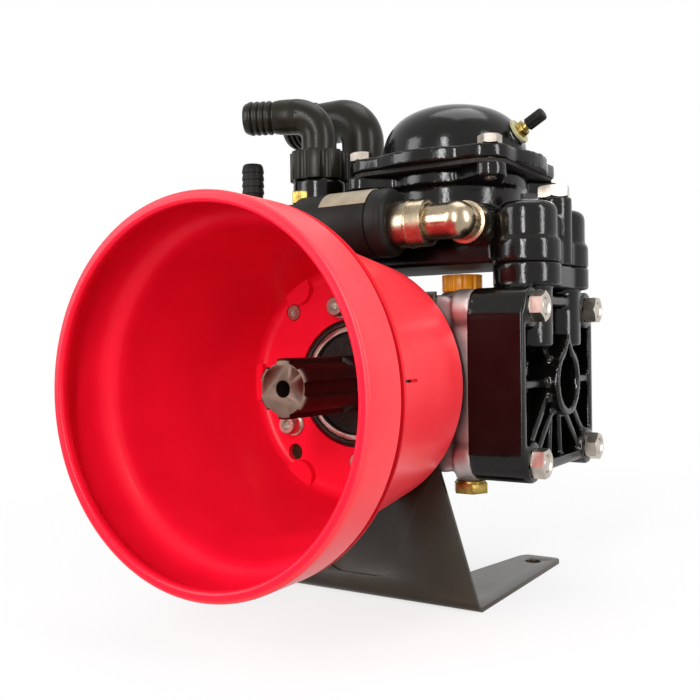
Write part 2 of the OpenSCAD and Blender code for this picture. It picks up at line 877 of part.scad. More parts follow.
module conrod(side) color("#74797d") at_crank() on_side(side) difference() {
    union() {
        translate([pin_x, 0, 0]) to_front() cylinder(r = eye_r, h = rod_w, center = true);
        translate([foot_r + 1, -rod_w / 2, -shank_h / 2]) cube([pin_x - foot_r - 1, rod_w, shank_h]);
        to_front() translate([0, 0, -shoe_w / 2]) intersection() {
            ring(foot_r + shoe_t, foot_r, shoe_w);
            linear_extrude(shoe_w) polygon([[0, 0], [foot_r * 2, -foot_r * 2 * tan(shoe_turn)],
                                            [foot_r * 2, foot_r * 2 * tan(shoe_turn)]]);
        }
    }
    translate([pin_x, 0, 0]) to_front() cylinder(r = pin_r + fit_gap, h = through, center = true);
}

module diaphragm(side) color("#2a2724") at_crank() on_side(side)
    translate([case_side, 0, 0]) rotate([0, 90, 0]) ring(diaphragm_r, disc_r + body_gap, diaphragm_t);

module clamp_disc(side) color("#c8ccd0") at_crank() on_side(side)
    translate([disc_in, 0, 0]) rotate([0, 90, 0]) {
        cylinder(r = disc_r, h = disc_t);
        translate([0, 0, disc_t - eps]) hex_bar(disc_bolt_af, disc_bolt_h);
    }

// Heads

module rib(turn, offset, length, sunk) {
    rotate([0, 0, turn]) translate([0, offset - rib_w / 2, 0]) cube([length, rib_w, head_depth - sunk]);
}

module teardrop(r) {
    circle(r);
    polygon([[-drop_side * r, drop_low * r], [0, drop_tip * r], [drop_side * r, drop_low * r]]);
}

module head_ribs() {
    reach = norm([stud_dy, stud_dz]) / 2;
    corner_turn = atan2(stud_dz, stud_dy);
    for (a = [0, 180]) rib(a, 0, head_w / 2 - rib_end, rib_sunk);
    for (a = [corner_turn, 180 - corner_turn]) rib(a, 0, reach, rib_sunk);
    for (a = [180 + corner_turn, -corner_turn], side = [-1, 1])
        rib(a, side * rib_pair, reach, rib_sunk);
    for (side = [-1, 1])
        rib(-90 + side * rib_splay, side * rib_pair, head_h / 2 - rib_end, low_rib_sunk);
}

// The oval that joins a side's two valve necks
module neck_plate(r, h) {
    for (port = [-1, 1]) translate([0, port * valve_y, 0]) cylinder(r = r, h = h);
    translate([-r + neck_waist, -valve_y, 0]) cube([2 * r - 2 * neck_waist, 2 * valve_y, h]);
}

module head(side) color("#191516") at_crank() on_side(side) difference() {
    union() {
        translate([head_face, 0, 0]) to_right() {
            linear_extrude(head_base) stud_outline(head_w);
            linear_extrude(head_depth - rim_sunk) difference() {
                round_rect(head_w, head_h, head_corner);
                round_rect(head_w - 2 * rim_t, head_h - 2 * rim_t, head_corner - rim_t);
            }
            for (p = stud_points) translate(p) cylinder(r = stud_boss_r, h = head_depth);
            linear_extrude(head_depth + hub_proud) teardrop(hub_r);
            head_ribs();
        }
        for (port = [-1, 1]) translate([valve_x, port * valve_y, column_bottom])
            cylinder(r = column_r, h = neck_z - column_bottom - 1);
        translate([valve_x, 0, neck_z - neck_t]) neck_plate(neck_r, neck_t);
        translate([head_face, -valve_y, head_h / 2 - rim_t])
            cube([valve_x - head_face, 2 * valve_y, neck_z - neck_t - head_h / 2 + rim_t + 1]);
    }
    translate([head_face - 1, 0, 0]) rotate([0, 90, 0]) {
        cylinder(r = recess_r, h = head_chamber + 1);
        cylinder(r = diaphragm_r + body_gap, h = diaphragm_t + 1);
    }
    for (p = stud_points) translate([0, p.x, p.y]) rotate([0, 90, 0])
        cylinder(r = stud_d / 2 + fit_gap, h = through);
    translate([head_rim + hub_proud - hub_hole_deep, 0, 0]) to_right()
        linear_extrude(hub_hole_deep + 1) teardrop(hub_hole_r);
    for (port = [-1, 1]) {
        translate([valve_x, port * valve_y, port_z]) cylinder(r = port_r, h = through);
        translate([head_face + 1, port * valve_y, port_z]) rotate([0, 90, 0])
            cylinder(r = side_port_r, h = valve_x - head_face - 1);
        translate([valve_x, port * valve_y, neck_z - valve_len])
            cylinder(r = valve_bore_r, h = valve_len + 1);
    }
    translate([clamp_x, 0, neck_z - clamp_sunk]) cylinder(r = clamp_d / 2 + fit_gap, h = through);
}

module head_studs() color("#cfc6be") at_crank() for (side = [-1, 1], p = stud_points) on_side(side)
    translate([case_side - stud_sunk, p.x, p.y]) rotate([0, 90, 0])
        cylinder(d = stud_d, h = head_rim - case_side + stud_sunk + nut_h - stud_short);

module head_nuts() color("#d8cdc4") at_crank() for (side = [-1, 1], p = stud_points) on_side(side)
    translate([head_rim, p.x, p.y]) to_right() difference() {
        hex_bar(nut_af, nut_h);
        translate([0, 0, -1]) cylinder(r = stud_d / 2 + fit_gap, h = through);
    }

// Valves

module valve_seats() color("#c9ccce") at_crank()
    for (side = [-1, 1], port = [-1, 1]) at_valve(side, port)
        ring(valve_bore_r - fit_gap, valve_hole_r, seat_t);

module valve_cages() color("#3a4a58") at_crank()
    for (side = [-1, 1], port = [-1, 1]) at_valve(side, port) {
        translate([0, 0, seat_t]) ring(valve_bore_r - fit_gap, cage_r, valve_len - seat_t);
        for (a = [0, 90]) rotate([0, 0, a])
            translate([-cage_r - 1, -cage_bar / 2, valve_len - cage_bar_t])
                cube([2 * cage_r + 2, cage_bar, cage_bar_t]);
    }

module valve_disc(side, port) color("#d6d8da") at_crank() at_valve(side, port)
    translate([0, 0, seat_t + seat_gap]) cylinder(r = cage_r - body_gap, h = valve_disc_t);

module valve_spring(side, port) color("#b8bcc0") at_crank() at_valve(side, port)
    translate([0, 0, seat_t + valve_disc_t + 2 * seat_gap])
        coil(spring_r, spring_wire / 2, spring_len, spring_turns);

// Manifold and accumulator

// A drum with a rounded top edge
module round_drum(r, h, edge) {
    rotate_extrude() {
        square([r, h - edge]);
        square([r - edge, h]);
        translate([r - edge, h - edge]) circle(edge);
    }
}

module manifold_end() {
    translate([valve_x, 0, neck_z]) {
        neck_plate(neck_r, manifold_flange_t);
        for (port = [-1, 1]) translate([0, port * valve_y, 0]) round_drum(drum_r, manifold_end_h, drum_edge);
        translate([-drum_r + neck_waist, -valve_y, 0])
            cube([2 * drum_r - 2 * neck_waist, 2 * valve_y, manifold_end_h - drum_edge - 2]);
    }
    translate([clamp_x, 0, neck_z]) cylinder(r = clamp_boss_r, h = manifold_end_h + clamp_boss_rise);
}

// A round rim with a lug out to each bolt
module bowl_flange_outline() {
    reach = dome_bolt * sqrt(2);
    circle(bowl_r + bowl_rim);
    for (a = [45 : 90 : 315]) rotate(a) {
        translate([reach, 0]) circle(lug_r);
        polygon([[0, -lug_root], [reach, -lug_r], [reach, lug_r], [0, lug_root]]);
    }
}

module manifold_body() {
    for (side = [-1, 1]) on_side(side) manifold_end();
    translate([-valve_x, -block_front, neck_z + block_rise])
        cube([2 * valve_x, block_front + block_rear, block_h]);
    translate([dome_x, dome_y, bowl_bottom - bowl_root])
        cylinder(r = bowl_r, h = dome_joint_z - bowl_bottom + bowl_root);
    translate([dome_x, dome_y, dome_joint_z - bowl_flange_t]) linear_extrude(bowl_flange_t)
        bowl_flange_outline();
    translate([return_x, return_y, neck_z + block_rise]) {
        cylinder(r = spigot_r + boss_wall, h = return_seat - neck_z - block_rise - spigot_h);
        cylinder(r = spigot_r, h = return_seat - neck_z - block_rise);
    }
    translate([suction_x, suction_y, neck_z + block_rise])
        cylinder(r = suction_r + boss_wall, h = suction_seat - neck_z - block_rise);
    translate([outlet_x, -block_front, outlet_z]) rotate([-90, 0, 0])
        cylinder(r = outlet_r + outlet_lip, h = block_front);
}

module manifold() color("#1b1818") at_crank() difference() {
    manifold_body();
    for (side = [-1, 1], port = [-1, 1]) translate([side * valve_x, port * valve_y, neck_z - 1])
        cylinder(r = valve_bore_r - 1, h = duct_z - neck_z + duct_r + 3);
    for (port = [-1, 1]) translate([-valve_x, port * duct_y, duct_z]) rotate([0, 90, 0])
        cylinder(r = duct_r, h = 2 * valve_x);
    translate([dome_x, dome_y, bowl_bottom]) cylinder(r = bowl_r - bowl_wall, h = through);
    translate([dome_x, feed_y, duct_z]) cylinder(r = feed_r, h = bowl_bottom - duct_z + 1);
    translate([return_x, return_y, duct_z + duct_r + 4]) cylinder(r = return_r - tube_wall, h = through);
    translate([suction_x, suction_y, duct_z - duct_r / 2]) cylinder(r = suction_r - tube_wall, h = through);
    for (side = [-1, 1]) translate([side * clamp_x, 0, 0]) cylinder(r = clamp_d / 2 + fit_gap, h = through);
    for (sx = [-1, 1], sy = [-1, 1])
        translate([dome_x + sx * dome_bolt, dome_y + sy * dome_bolt, dome_joint_z - bowl_flange_t - 1])
            cylinder(r = dome_bolt_d / 2 + fit_gap, h = bowl_flange_t + 2);
    translate([outlet_x, -block_front - 1, outlet_z]) rotate([-90, 0, 0])
        cylinder(r = outlet_r - tube_wall, h = block_front - duct_y + 1);
    translate([-valve_x - tail_shift, -valve_y, duct_z]) cylinder(r = tail_r - tube_wall, h = through);
}

module manifold_bolts() color("#d8cdc4") at_crank() for (side = [-1, 1])
    translate([side * clamp_x, 0, neck_z + manifold_end_h + clamp_boss_rise])
        hex_bolt(clamp_d, clamp_af, clamp_head_h, manifold_end_h + clamp_boss_rise + clamp_sunk - 1);

module accumulator_diaphragm() color("#2a2724") at_crank()
    translate([dome_x, dome_y, dome_joint_z]) difference() {
        linear_extrude(gasket_t)
            round_rect(dome_flange - gasket_inset, dome_flange - gasket_inset, dome_corner);
        for (sx = [-1, 1], sy = [-1, 1]) translate([sx * dome_bolt, sy * dome_bolt, -1])
            cylinder(r = dome_bolt_d / 2 + fit_gap, h = gasket_t + 2);
    }

// The dome's outline, blunter than an ellipse
function dome_outline(r, h) = concat([[0, 0]],
    [for (t = [0 : 6 : 90]) [r * pow(cos(t), dome_blunt), h * pow(sin(t), dome_blunt)]]);

module at_air_valve() {
    translate([dome_x, dome_y, dome_joint_z + gasket_t + dome_flange_t]) rotate([0, 0, air_turn])
        translate([air_x, 0, air_z]) rotate([0, 90 - air_rise, 0]) children();
}

module accumulator_dome() color("#1c1a17") at_crank() difference() {
    union() {
        translate([dome_x, dome_y, dome_joint_z + gasket_t]) {
            linear_extrude(dome_flange_t) round_rect(dome_flange, dome_flange, dome_corner);
            translate([0, 0, dome_flange_t - eps]) rotate_extrude() polygon(dome_outline(dome_r, dome_h));
        }
        at_air_valve() translate([0, 0, -air_boss]) cylinder(r = air_boss_r, h = air_boss);
    }
    translate([dome_x, dome_y, dome_joint_z + gasket_t - 1]) {
        cylinder(r = dome_r - dome_wall, h = dome_flange_t + 1);
        translate([0, 0, dome_flange_t]) rotate_extrude()
            polygon(dome_outline(dome_r - dome_wall, dome_h - dome_wall));
        for (sx = [-1, 1], sy = [-1, 1]) translate([sx * dome_bolt, sy * dome_bolt, 0])
            cylinder(r = dome_bolt_d / 2 + fit_gap, h = dome_flange_t + 2);
    }
    at_air_valve() translate([0, 0, -air_boss - dome_wall])
        cylinder(r = air_stem_r + fit_gap, h = air_boss + dome_wall + 1);
}

module accumulator_bolts() color("#d8cdc4") at_crank() for (sx = [-1, 1], sy = [-1, 1])
    translate([dome_x + sx * dome_bolt, dome_y + sy * dome_bolt, dome_joint_z + gasket_t + dome_flange_t]) {
        grip = gasket_t + dome_flange_t + bowl_flange_t;
        hex_bolt(dome_bolt_d, dome_bolt_af, dome_bolt_head, grip + dome_bolt_end);
    }

module air_valve_washer() color("#d6c04e") at_crank() at_air_valve()
    ring(air_washer_r, air_stem_r + fit_gap, air_washer_t);

module air_valve() color("#b08f3a") at_crank() at_air_valve() {
    translate([0, 0, air_washer_t]) hex_bar(air_af, air_hex_h);
    translate([0, 0, -air_boss + 1]) cylinder(r = air_stem_r, h = air_boss + air_washer_t);
    translate([0, 0, air_washer_t + air_hex_h - eps]) cylinder(r = air_neck_r, h = air_neck);
}

module air_valve_cap() color("#211d1d") at_crank() at_air_valve()
    translate([0, 0, air_washer_t + air_hex_h + air_neck_bare]) difference() {
        round_drum(air_cap_r, air_cap_h, air_cap_edge);
        translate([0, 0, -1]) cylinder(r = air_neck_r + fit_gap, h = air_neck - air_neck_bare + 1);
        for (a = [0 : 45 : 315]) rotate([0, 0, a]) translate([air_cap_r + air_flute_out, 0, -1])
            cylinder(r = air_flute_r, h = air_cap_h - air_flute_short);
    }

// Control unit and fittings

module unit_axis(x) {
    translate([x, unit_y, unit_z]) rotate([0, 90, 0]) children();
}

module outlet_axis(x) {
    translate([x, unit_y, outlet_z]) rotate([0, 90, 0]) children();
}

// A shallow groove round a drum
module ring_groove(r, deep, w) {
    ring(r + 1, r - deep, w);
}

module control_unit() color("#1d1a18") at_crank() difference() {
    union() {
        unit_axis(unit_left) round_drum(unit_r, unit_len, unit_edge);
        translate([unit_neck_x, unit_y, unit_z - unit_neck_drop]) rotate([-90, 0, 0])
            cylinder(r = unit_neck_r, h = -unit_y - block_front);
    }
    unit_axis(unit_right - unit_collar) ring_groove(unit_r, groove_deep, groove_w);
    outlet_axis(unit_right - outlet_plug) cylinder(r = outlet_r + fit_gap, h = outlet_plug + 1);
    unit_axis(unit_left - 1) cylinder(r = knob_stem_r + body_gap, h = unit_len / 2);
}

module control_bonnet() color("#231f1c") at_crank() difference() {
    unit_axis(unit_left - bonnet_len) cylinder(r = bonnet_r, h = bonnet_len);
    unit_axis(unit_left - bonnet_len - 1) cylinder(r = knob_stem_r + fit_gap, h = bonnet_len + 2);
    for (x = [unit_left - bonnet_len / 3, unit_left - 2 * bonnet_len / 3])
        unit_axis(x) ring_groove(bonnet_r, groove_deep, groove_w);
    translate([unit_left - bonnet_len / 2, unit_y, unit_z + bonnet_r - gauge_deep])
        cylinder(r = gauge_r + fit_gap, h = through);
}

module regulator_knob() color("#1f1c1b") at_crank() {
    unit_axis(unit_left - bonnet_len - body_gap - knob_len) difference() {
        cylinder(r = knob_r, h = knob_len);
        for (a = [0 : 30 : 330]) rotate([0, 0, a]) translate([knob_r + knob_flute_out, 0, -1])
            cylinder(r = knob_flute_r, h = knob_len - knob_flute_short);
    }
    unit_axis(unit_left - bonnet_len - body_gap - eps)
        cylinder(r = knob_stem_r, h = bonnet_len + knob_stem_in);
}

module gauge_plug() color("#b99a4a") at_crank()
    translate([unit_left - bonnet_len / 2, unit_y, unit_z + bonnet_r]) {
        hex_bar(gauge_af, gauge_h);
        translate([0, 0, -gauge_deep + gauge_end_gap]) cylinder(r = gauge_r, h = gauge_deep);
    }

module rating_plate() color("#cfc9c2") at_crank() unit_axis(plate_x) rotate([0, 0, plate_start])
    rotate_extrude(angle = plate_span) translate([unit_r, 0]) square([plate_t, plate_len]);

module outlet_elbow() color("#c8aa82") at_crank() difference() {
    union() {
        outlet_axis(unit_right - outlet_plug + 1)
            cylinder(r = outlet_r, h = outlet_x - unit_right + outlet_plug - 1);
        translate([outlet_x, unit_y, outlet_z]) sphere(r = outlet_r + ball_proud);
        translate([outlet_x, unit_y, outlet_z]) rotate([-90, 0, 0])
            cylinder(r = outlet_r, h = -unit_y - block_front);
        translate([outlet_x, unit_y + outlet_r, outlet_z]) rotate([-90, 0, 0])
            cylinder(r = outlet_r + outlet_lip, h = -unit_y - outlet_r - block_front);
    }
    outlet_axis(unit_right - outlet_plug)
        cylinder(r = outlet_r - tube_wall, h = outlet_x - unit_right + outlet_plug);
    translate([outlet_x, unit_y, outlet_z]) sphere(r = outlet_r - tube_wall);
    translate([outlet_x, unit_y, outlet_z]) rotate([-90, 0, 0])
        cylinder(r = outlet_r - tube_wall, h = through / 2);
}

module outlet_collar() color("#cdb48e") at_crank() outlet_axis(unit_right) difference() {
    union() {
        cylinder(r = collar_r, h = collar_len);
        translate([0, 0, (collar_len - band_w) / 2]) cylinder(r = collar_r + band_proud, h = band_w);
    }
    translate([0, 0, -1]) cylinder(r = outlet_r + fit_gap, h = collar_len + 2);
}

module return_elbow() color("#2b2a20") at_crank() translate([return_x, return_y, return_seat]) {
    rotate([0, 0, return_turn])
        tail_elbow(return_r, return_tail_r, return_crest_r, return_leg, return_bend, return_tail,
                   return_barbs);
    ring(spigot_r - collar_inset, return_r - 1, elbow_collar_t);
}

module return_nut() color("#1c1a19") at_crank()
    translate([return_x, return_y, return_seat - spigot_h]) difference() {
        cylinder(r = union_r, h = union_h);
        translate([0, 0, -1])
            cylinder(r = spigot_r + fit_gap, h = spigot_h + elbow_collar_t + 1 + seat_gap);
        translate([0, 0, -1]) cylinder(r = return_r + fit_gap, h = union_h + 2);
        for (a = [0 : 45 : 315]) rotate([0, 0, a]) translate([union_r + union_flute_out, 0, -1])
            cylinder(r = union_flute_r, h = union_h + 2);
    }

module suction_elbow() color("#2b2a20") at_crank() translate([suction_x, suction_y, suction_seat]) {
    tail_elbow(suction_r, suction_r, suction_r + barb_h, suction_leg, suction_bend, suction_tail,
               suction_barbs);
    ring(suction_r + boss_wall, suction_r - 1, suction_collar_t);
}

module delivery_tail() color("#201d1c") at_crank()
    translate([-valve_x - tail_shift, -valve_y, neck_z + manifold_end_h]) difference() {
        union() {
            hex_bar(tail_af, tail_hex_h);
            translate([0, 0, tail_hex_h - eps])
                hose_tail(tail_r, tail_r + tail_barb, tail_len, barb_tip, tail_pitch, barb_land, tail_barbs);
        }
        translate([0, 0, -1]) cylinder(r = tail_r - tube_wall, h = through);
    }

// Guard

module guard_shell() {
    step = guard_mouth - guard_rim_len;
    w = guard_wall;
    n = 8;
    rotate_extrude() polygon(concat(
        [[guard_open_r, sheet_front]],
        [for (i = [0 : n]) let (a = -90 + 90 * i / n)
            [guard_rear_r - guard_corner + guard_corner * cos(a),
             guard_corner_end + guard_corner * sin(a)]],
        [[guard_front_r, step - groove_len - groove_slope],
         [guard_front_r - guard_groove, step - groove_len],
         [guard_front_r - guard_groove, step],
         [guard_mouth_r - rim_taper, step],
         [guard_mouth_r, guard_mouth - guard_lip],
         [guard_mouth_r, guard_mouth - lip_edge],
         [guard_mouth_r - lip_edge, guard_mouth],
         [guard_mouth_r - guard_lip + lip_edge, guard_mouth],
         [guard_mouth_r - guard_lip, guard_mouth - lip_edge],
         [guard_mouth_r - w, guard_mouth - guard_lip - lip_edge],
         [guard_mouth_r - w - rim_taper, step + guard_lip],
         [guard_front_r - w - guard_groove, step]],
        [for (i = [n : -1 : 0]) let (a = -90 + 90 * i / n, r = guard_corner - w)
            [guard_rear_r - guard_corner + r * cos(a),
             guard_corner_end + (guard_corner - guard_plate_t) * sin(a)]],
        [[guard_open_r, guard_plate_front]]));
}

// Raised lobes where the back plate meets the wall
module guard_lobes() {
    intersection() {
        for (sx = [-1, 1], sy = [-1, 1]) translate([sx * lobe_x, sy * lobe_z, guard_plate_front - 1])
            cylinder(r = lobe_r, h = lobe_h + 1);
        cylinder(r = guard_rear_r - lobe_inset, h = through);
    }
}

module pto_guard() color("#f0142d") at_crank() to_front() difference() {
    union() {
        guard_shell();
        guard_lobes();
    }
    for (p = guard_screw_points) translate([p.x, p.y, 0])
        cylinder(r = screw_r + fit_gap, h = guard_plate_front + 1);
    for (p = concat(plate_screw_points, [guard_drain_point])) translate([p.x, p.y, 0])
        cylinder(r = plate_hole_r, h = guard_plate_front + 1);
    for (side = [-1, 1]) translate([side * notch_x - notch_w / 2, -notch_h / 2, sheet_front - 1])
        cube([notch_w, notch_h, guard_plate_t + 2]);
}

module guard_screws() color("#d8d3ce") at_crank() to_front()
    for (p = guard_screw_points) translate([p.x, p.y, guard_plate_front]) difference() {
        union() {
            cylinder(r = screw_washer_r, h = washer_t);
            translate([0, 0, washer_t - eps]) cylinder(r = screw_head_r, h = screw_head_h);
            translate([0, 0, -guard_plate_t - sheet_t - screw_sunk + 1])
                cylinder(r = screw_r, h = guard_plate_t + sheet_t + screw_sunk);
        }
        translate([0, 0, washer_t + screw_head_h - socket_deep])
            cylinder(r = socket_r, h = socket_deep + 1, $fn = 6);
    }

module plate_screws() color("#cbb98a") at_crank() to_front()
    for (p = plate_screw_points) translate([p.x, p.y, sheet_front])
        difference() {
            union() {
                cylinder(r = plate_screw_r, h = plate_head_h);
                translate([0, 0, -sheet_t - screw_sunk + 1])
                    cylinder(r = screw_r, h = sheet_t + screw_sunk);
            }
            translate([0, 0, plate_head_h - plate_socket_deep])
                cylinder(r = plate_socket_r, h = plate_socket_deep + 1, $fn = 6);
        }

// Nodes

base_bracket();
crankcase();
rear_cover();
rear_cover_screws();
drain_plug();
oil_filler_cap();
pto_shaft();
eccentric_roller();
front_bearing();
rear_bearing();
oil_seal();
snap_ring();
sleeve(1);  // right_sleeve
sleeve(-1);  // left_sleeve
piston(1);  // right_piston
piston(-1);  // left_piston
gudgeon_pin(1);  // right_gudgeon_pin
gudgeon_pin(-1);  // left_gudgeon_pin
conrod(1);  // right_conrod
conrod(-1);  // left_conrod
diaphragm(1);  // right_diaphragm
diaphragm(-1);  // left_diaphragm
clamp_disc(1);  // right_clamp_disc
clamp_disc(-1);  // left_clamp_disc
head(1);  // right_head
head(-1);  // left_head
head_studs();
head_nuts();
valve_seats();
valve_cages();
valve_disc(1, -1);  // right_delivery_disc
valve_disc(1, 1);  // right_suction_disc
valve_disc(-1, -1);  // left_delivery_disc
valve_disc(-1, 1);  // left_suction_disc
valve_spring(1, -1);  // right_delivery_spring
valve_spring(1, 1);  // right_suction_spring
valve_spring(-1, -1);  // left_delivery_spring
valve_spring(-1, 1);  // left_suction_spring
manifold();
manifold_bolts();
accumulator_diaphragm();
accumulator_dome();
accumulator_bolts();
air_valve_washer();
air_valve();
air_valve_cap();
control_unit();
control_bonnet();
regulator_knob();
gauge_plug();
rating_plate();
outlet_elbow();
outlet_collar();
return_elbow();
return_nut();
suction_elbow();
delivery_tail();
pto_guard();
guard_screws();
plate_screws();
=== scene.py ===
import json
import math

import bpy
from mathutils import Matrix, Vector


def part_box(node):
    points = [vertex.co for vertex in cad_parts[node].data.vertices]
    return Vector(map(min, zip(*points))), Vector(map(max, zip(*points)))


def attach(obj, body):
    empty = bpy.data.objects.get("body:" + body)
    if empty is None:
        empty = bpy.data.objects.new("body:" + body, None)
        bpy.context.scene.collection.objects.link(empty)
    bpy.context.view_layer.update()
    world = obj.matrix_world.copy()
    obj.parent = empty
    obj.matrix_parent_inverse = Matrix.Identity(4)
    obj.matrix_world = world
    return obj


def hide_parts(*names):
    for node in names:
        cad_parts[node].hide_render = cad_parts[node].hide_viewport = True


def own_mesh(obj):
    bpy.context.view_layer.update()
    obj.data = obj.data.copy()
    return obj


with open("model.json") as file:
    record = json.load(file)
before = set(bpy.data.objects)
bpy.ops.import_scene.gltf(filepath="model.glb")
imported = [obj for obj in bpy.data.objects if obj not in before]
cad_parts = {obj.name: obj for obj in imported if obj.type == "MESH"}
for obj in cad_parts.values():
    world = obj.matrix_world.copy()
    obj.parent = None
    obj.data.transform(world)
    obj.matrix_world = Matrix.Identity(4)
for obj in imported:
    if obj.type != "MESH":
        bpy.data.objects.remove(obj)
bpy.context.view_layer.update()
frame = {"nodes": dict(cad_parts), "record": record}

MM = 0.001

# Edges shorter than this are leavings of a cut
SLIVER = 0.0001 * MM

# Corners of a CAD node's triangles that lie closer than this are one corner
WELD = 0.001 * MM

# The crank centre, from which the pump's own places are measured
CRANK = Vector((0.0, -70.0, 136.0)) * MM


def crank(x, y, z):
    """A place in millimetres from the crank centre, in metres of the frame."""
    return CRANK + Vector((x, y, z)) * MM


def above(height):
    """A place on the Z axis, in millimetres above the origin."""
    return Vector((0, 0, height)) * MM


# Colours and nodes


def srgb(code):
    """A hex colour as linear RGBA."""
    parts = [int(code[i:i + 2], 16) / 255 for i in (1, 3, 5)]
    linear = [c / 12.92 if c <= 0.04045 else ((c + 0.055) / 1.055) ** 2.4 for c in parts]
    return (*linear, 1.0)


# A noise keeps mostly between these two values, and each finer layer of it has this share of the last one
NOISE_LOW, NOISE_HIGH, FALLOFF = 0.3, 0.7, 0.55

# The Mix node's setting for colours
RGBA = {"data_type": "RGBA"}


def add(tree, kind, settings=None, **links):
    """Adds a node with its settings, and fills or links its sockets, by name or as i and an index."""
    node = tree.nodes.new(kind)
    for name, value in (settings or {}).items():
        setattr(node, name, value)
    for name, value in links.items():
        key = int(name[1:]) if name[0] == "i" and name[1:].isdigit() else name.replace("_", " ")
        socket = node.inputs[key]
        if isinstance(value, bpy.types.Node):
            value = value.outputs[0]
        if isinstance(value, bpy.types.NodeSocket):
            tree.links.new(value, socket)
        else:
            socket.default_value = value
    return node


def begin(name):
    """A new material, its nodes and its Object coordinates."""
    finish = bpy.data.materials.new(name)
    finish.use_nodes = True
    tree = finish.node_tree
    tree.nodes.clear()
    return finish, tree, add(tree, "ShaderNodeTexCoord").outputs["Object"]


def close(finish, **sockets):
    """Gives a material its shader, with values or links in the shader's sockets."""
    tree = finish.node_tree
    shader = add(tree, "ShaderNodeBsdfPrincipled", **sockets)
    add(tree, "ShaderNodeOutputMaterial", Surface=shader)
    return finish


# Finishes

# A grain that is too fine to show in the real material is drawn about half a millimetre wide or wider


def red_moulded_plastic():
    # Injection-moulded polyethylene: soft gloss, a faint waviness, and painted light: paler outside as if
    # lit, deeper red inside as if in shade
    finish, tree, place = begin("red_moulded_plastic")
    cloud = add(tree, "ShaderNodeTexNoise", Vector=place, Scale=1 / (45 * MM), Detail=2, Roughness=FALLOFF)
    fine = add(tree, "ShaderNodeTexNoise", Vector=place, Scale=1 / (0.9 * MM), Detail=3, Roughness=FALLOFF)
    patch = add(tree, "ShaderNodeMapRange", Value=cloud, From_Min=NOISE_LOW, From_Max=NOISE_HIGH)
    # Painted light: the inside gets a deeper red as shade, the outside a paler coral as light
    inner = add(tree, "ShaderNodeMix", RGBA, i0=patch, i6=srgb("#de0e2a"), i7=srgb("#ea1430")).outputs[2]
    outer = add(tree, "ShaderNodeMix", RGBA, i0=patch, i6=srgb("#f2343e"), i7=srgb("#f83e46")).outputs[2]
    # The outside is what faces away from the shaft's axis
    normal = add(tree, "ShaderNodeTexCoord").outputs["Normal"]
    from_crank = add(tree, "ShaderNodeVectorMath", {"operation": "SUBTRACT"}, i0=place, i1=CRANK)
    flat = add(tree, "ShaderNodeVectorMath", {"operation": "MULTIPLY"}, i0=from_crank, i1=(1, 0, 1))
    outward = add(tree, "ShaderNodeVectorMath", {"operation": "NORMALIZE"}, i0=flat)
    facing = add(tree, "ShaderNodeVectorMath", {"operation": "DOT_PRODUCT"}, i0=outward,
                 i1=normal).outputs["Value"]
    outside = add(tree, "ShaderNodeMapRange", Value=facing, From_Min=0.0, From_Max=0.5)
    lit_and_shaded_red = add(tree, "ShaderNodeMix", RGBA, i0=outside, i6=inner, i7=outer).outputs[2]
    # Shade gathers in the groove behind the rim
    groove, reach = -180 * MM, 3.3 * MM
    along = add(tree, "ShaderNodeSeparateXYZ", Vector=from_crank).outputs["Y"]
    band = add(tree, "ShaderNodeMath", {"operation": "COMPARE"}, i0=along, i1=groove, i2=reach)
    crevice = add(tree, "ShaderNodeMath", {"operation": "MULTIPLY"}, i0=band, i1=outside)
    colour = add(tree, "ShaderNodeMix", RGBA, i0=crevice, i6=lit_and_shaded_red, i7=srgb("#be0214")).outputs[2]
    gloss = add(tree, "ShaderNodeMapRange", Value=fine, To_Min=0.24, To_Max=0.38)
    bump = add(tree, "ShaderNodeBump", Height=fine, Distance=0.02 * MM)
    return close(finish, Base_Color=colour, Roughness=gloss, Normal=bump, IOR=1.5, Specular_IOR_Level=0.16)


def satin_black_paint():
    # Powder paint on folded steel: fine orange peel, a sheen that is strong at a low angle, patches of dust
    finish, tree, place = begin("satin_black_paint")
    dust = add(tree, "ShaderNodeTexNoise", Vector=place, Scale=1 / (30 * MM), Detail=5, Roughness=FALLOFF)
    peel = add(tree, "ShaderNodeTexNoise", Vector=place, Scale=1 / (1.1 * MM), Detail=2, Roughness=FALLOFF)
    patch = add(tree, "ShaderNodeMapRange", Value=dust, From_Min=NOISE_LOW, From_Max=NOISE_HIGH)
    colour = add(tree, "ShaderNodeMix", RGBA, i0=patch, i6=srgb("#1e150a"), i7=srgb("#2c2213")).outputs[2]
    gloss = add(tree, "ShaderNodeMapRange", Value=dust, To_Min=0.24, To_Max=0.38)
    bump = add(tree, "ShaderNodeBump", Height=peel, Distance=0.05 * MM)
    return close(finish, Base_Color=colour, Roughness=gloss, Normal=bump, IOR=1.5, Specular_IOR_Level=0.32)


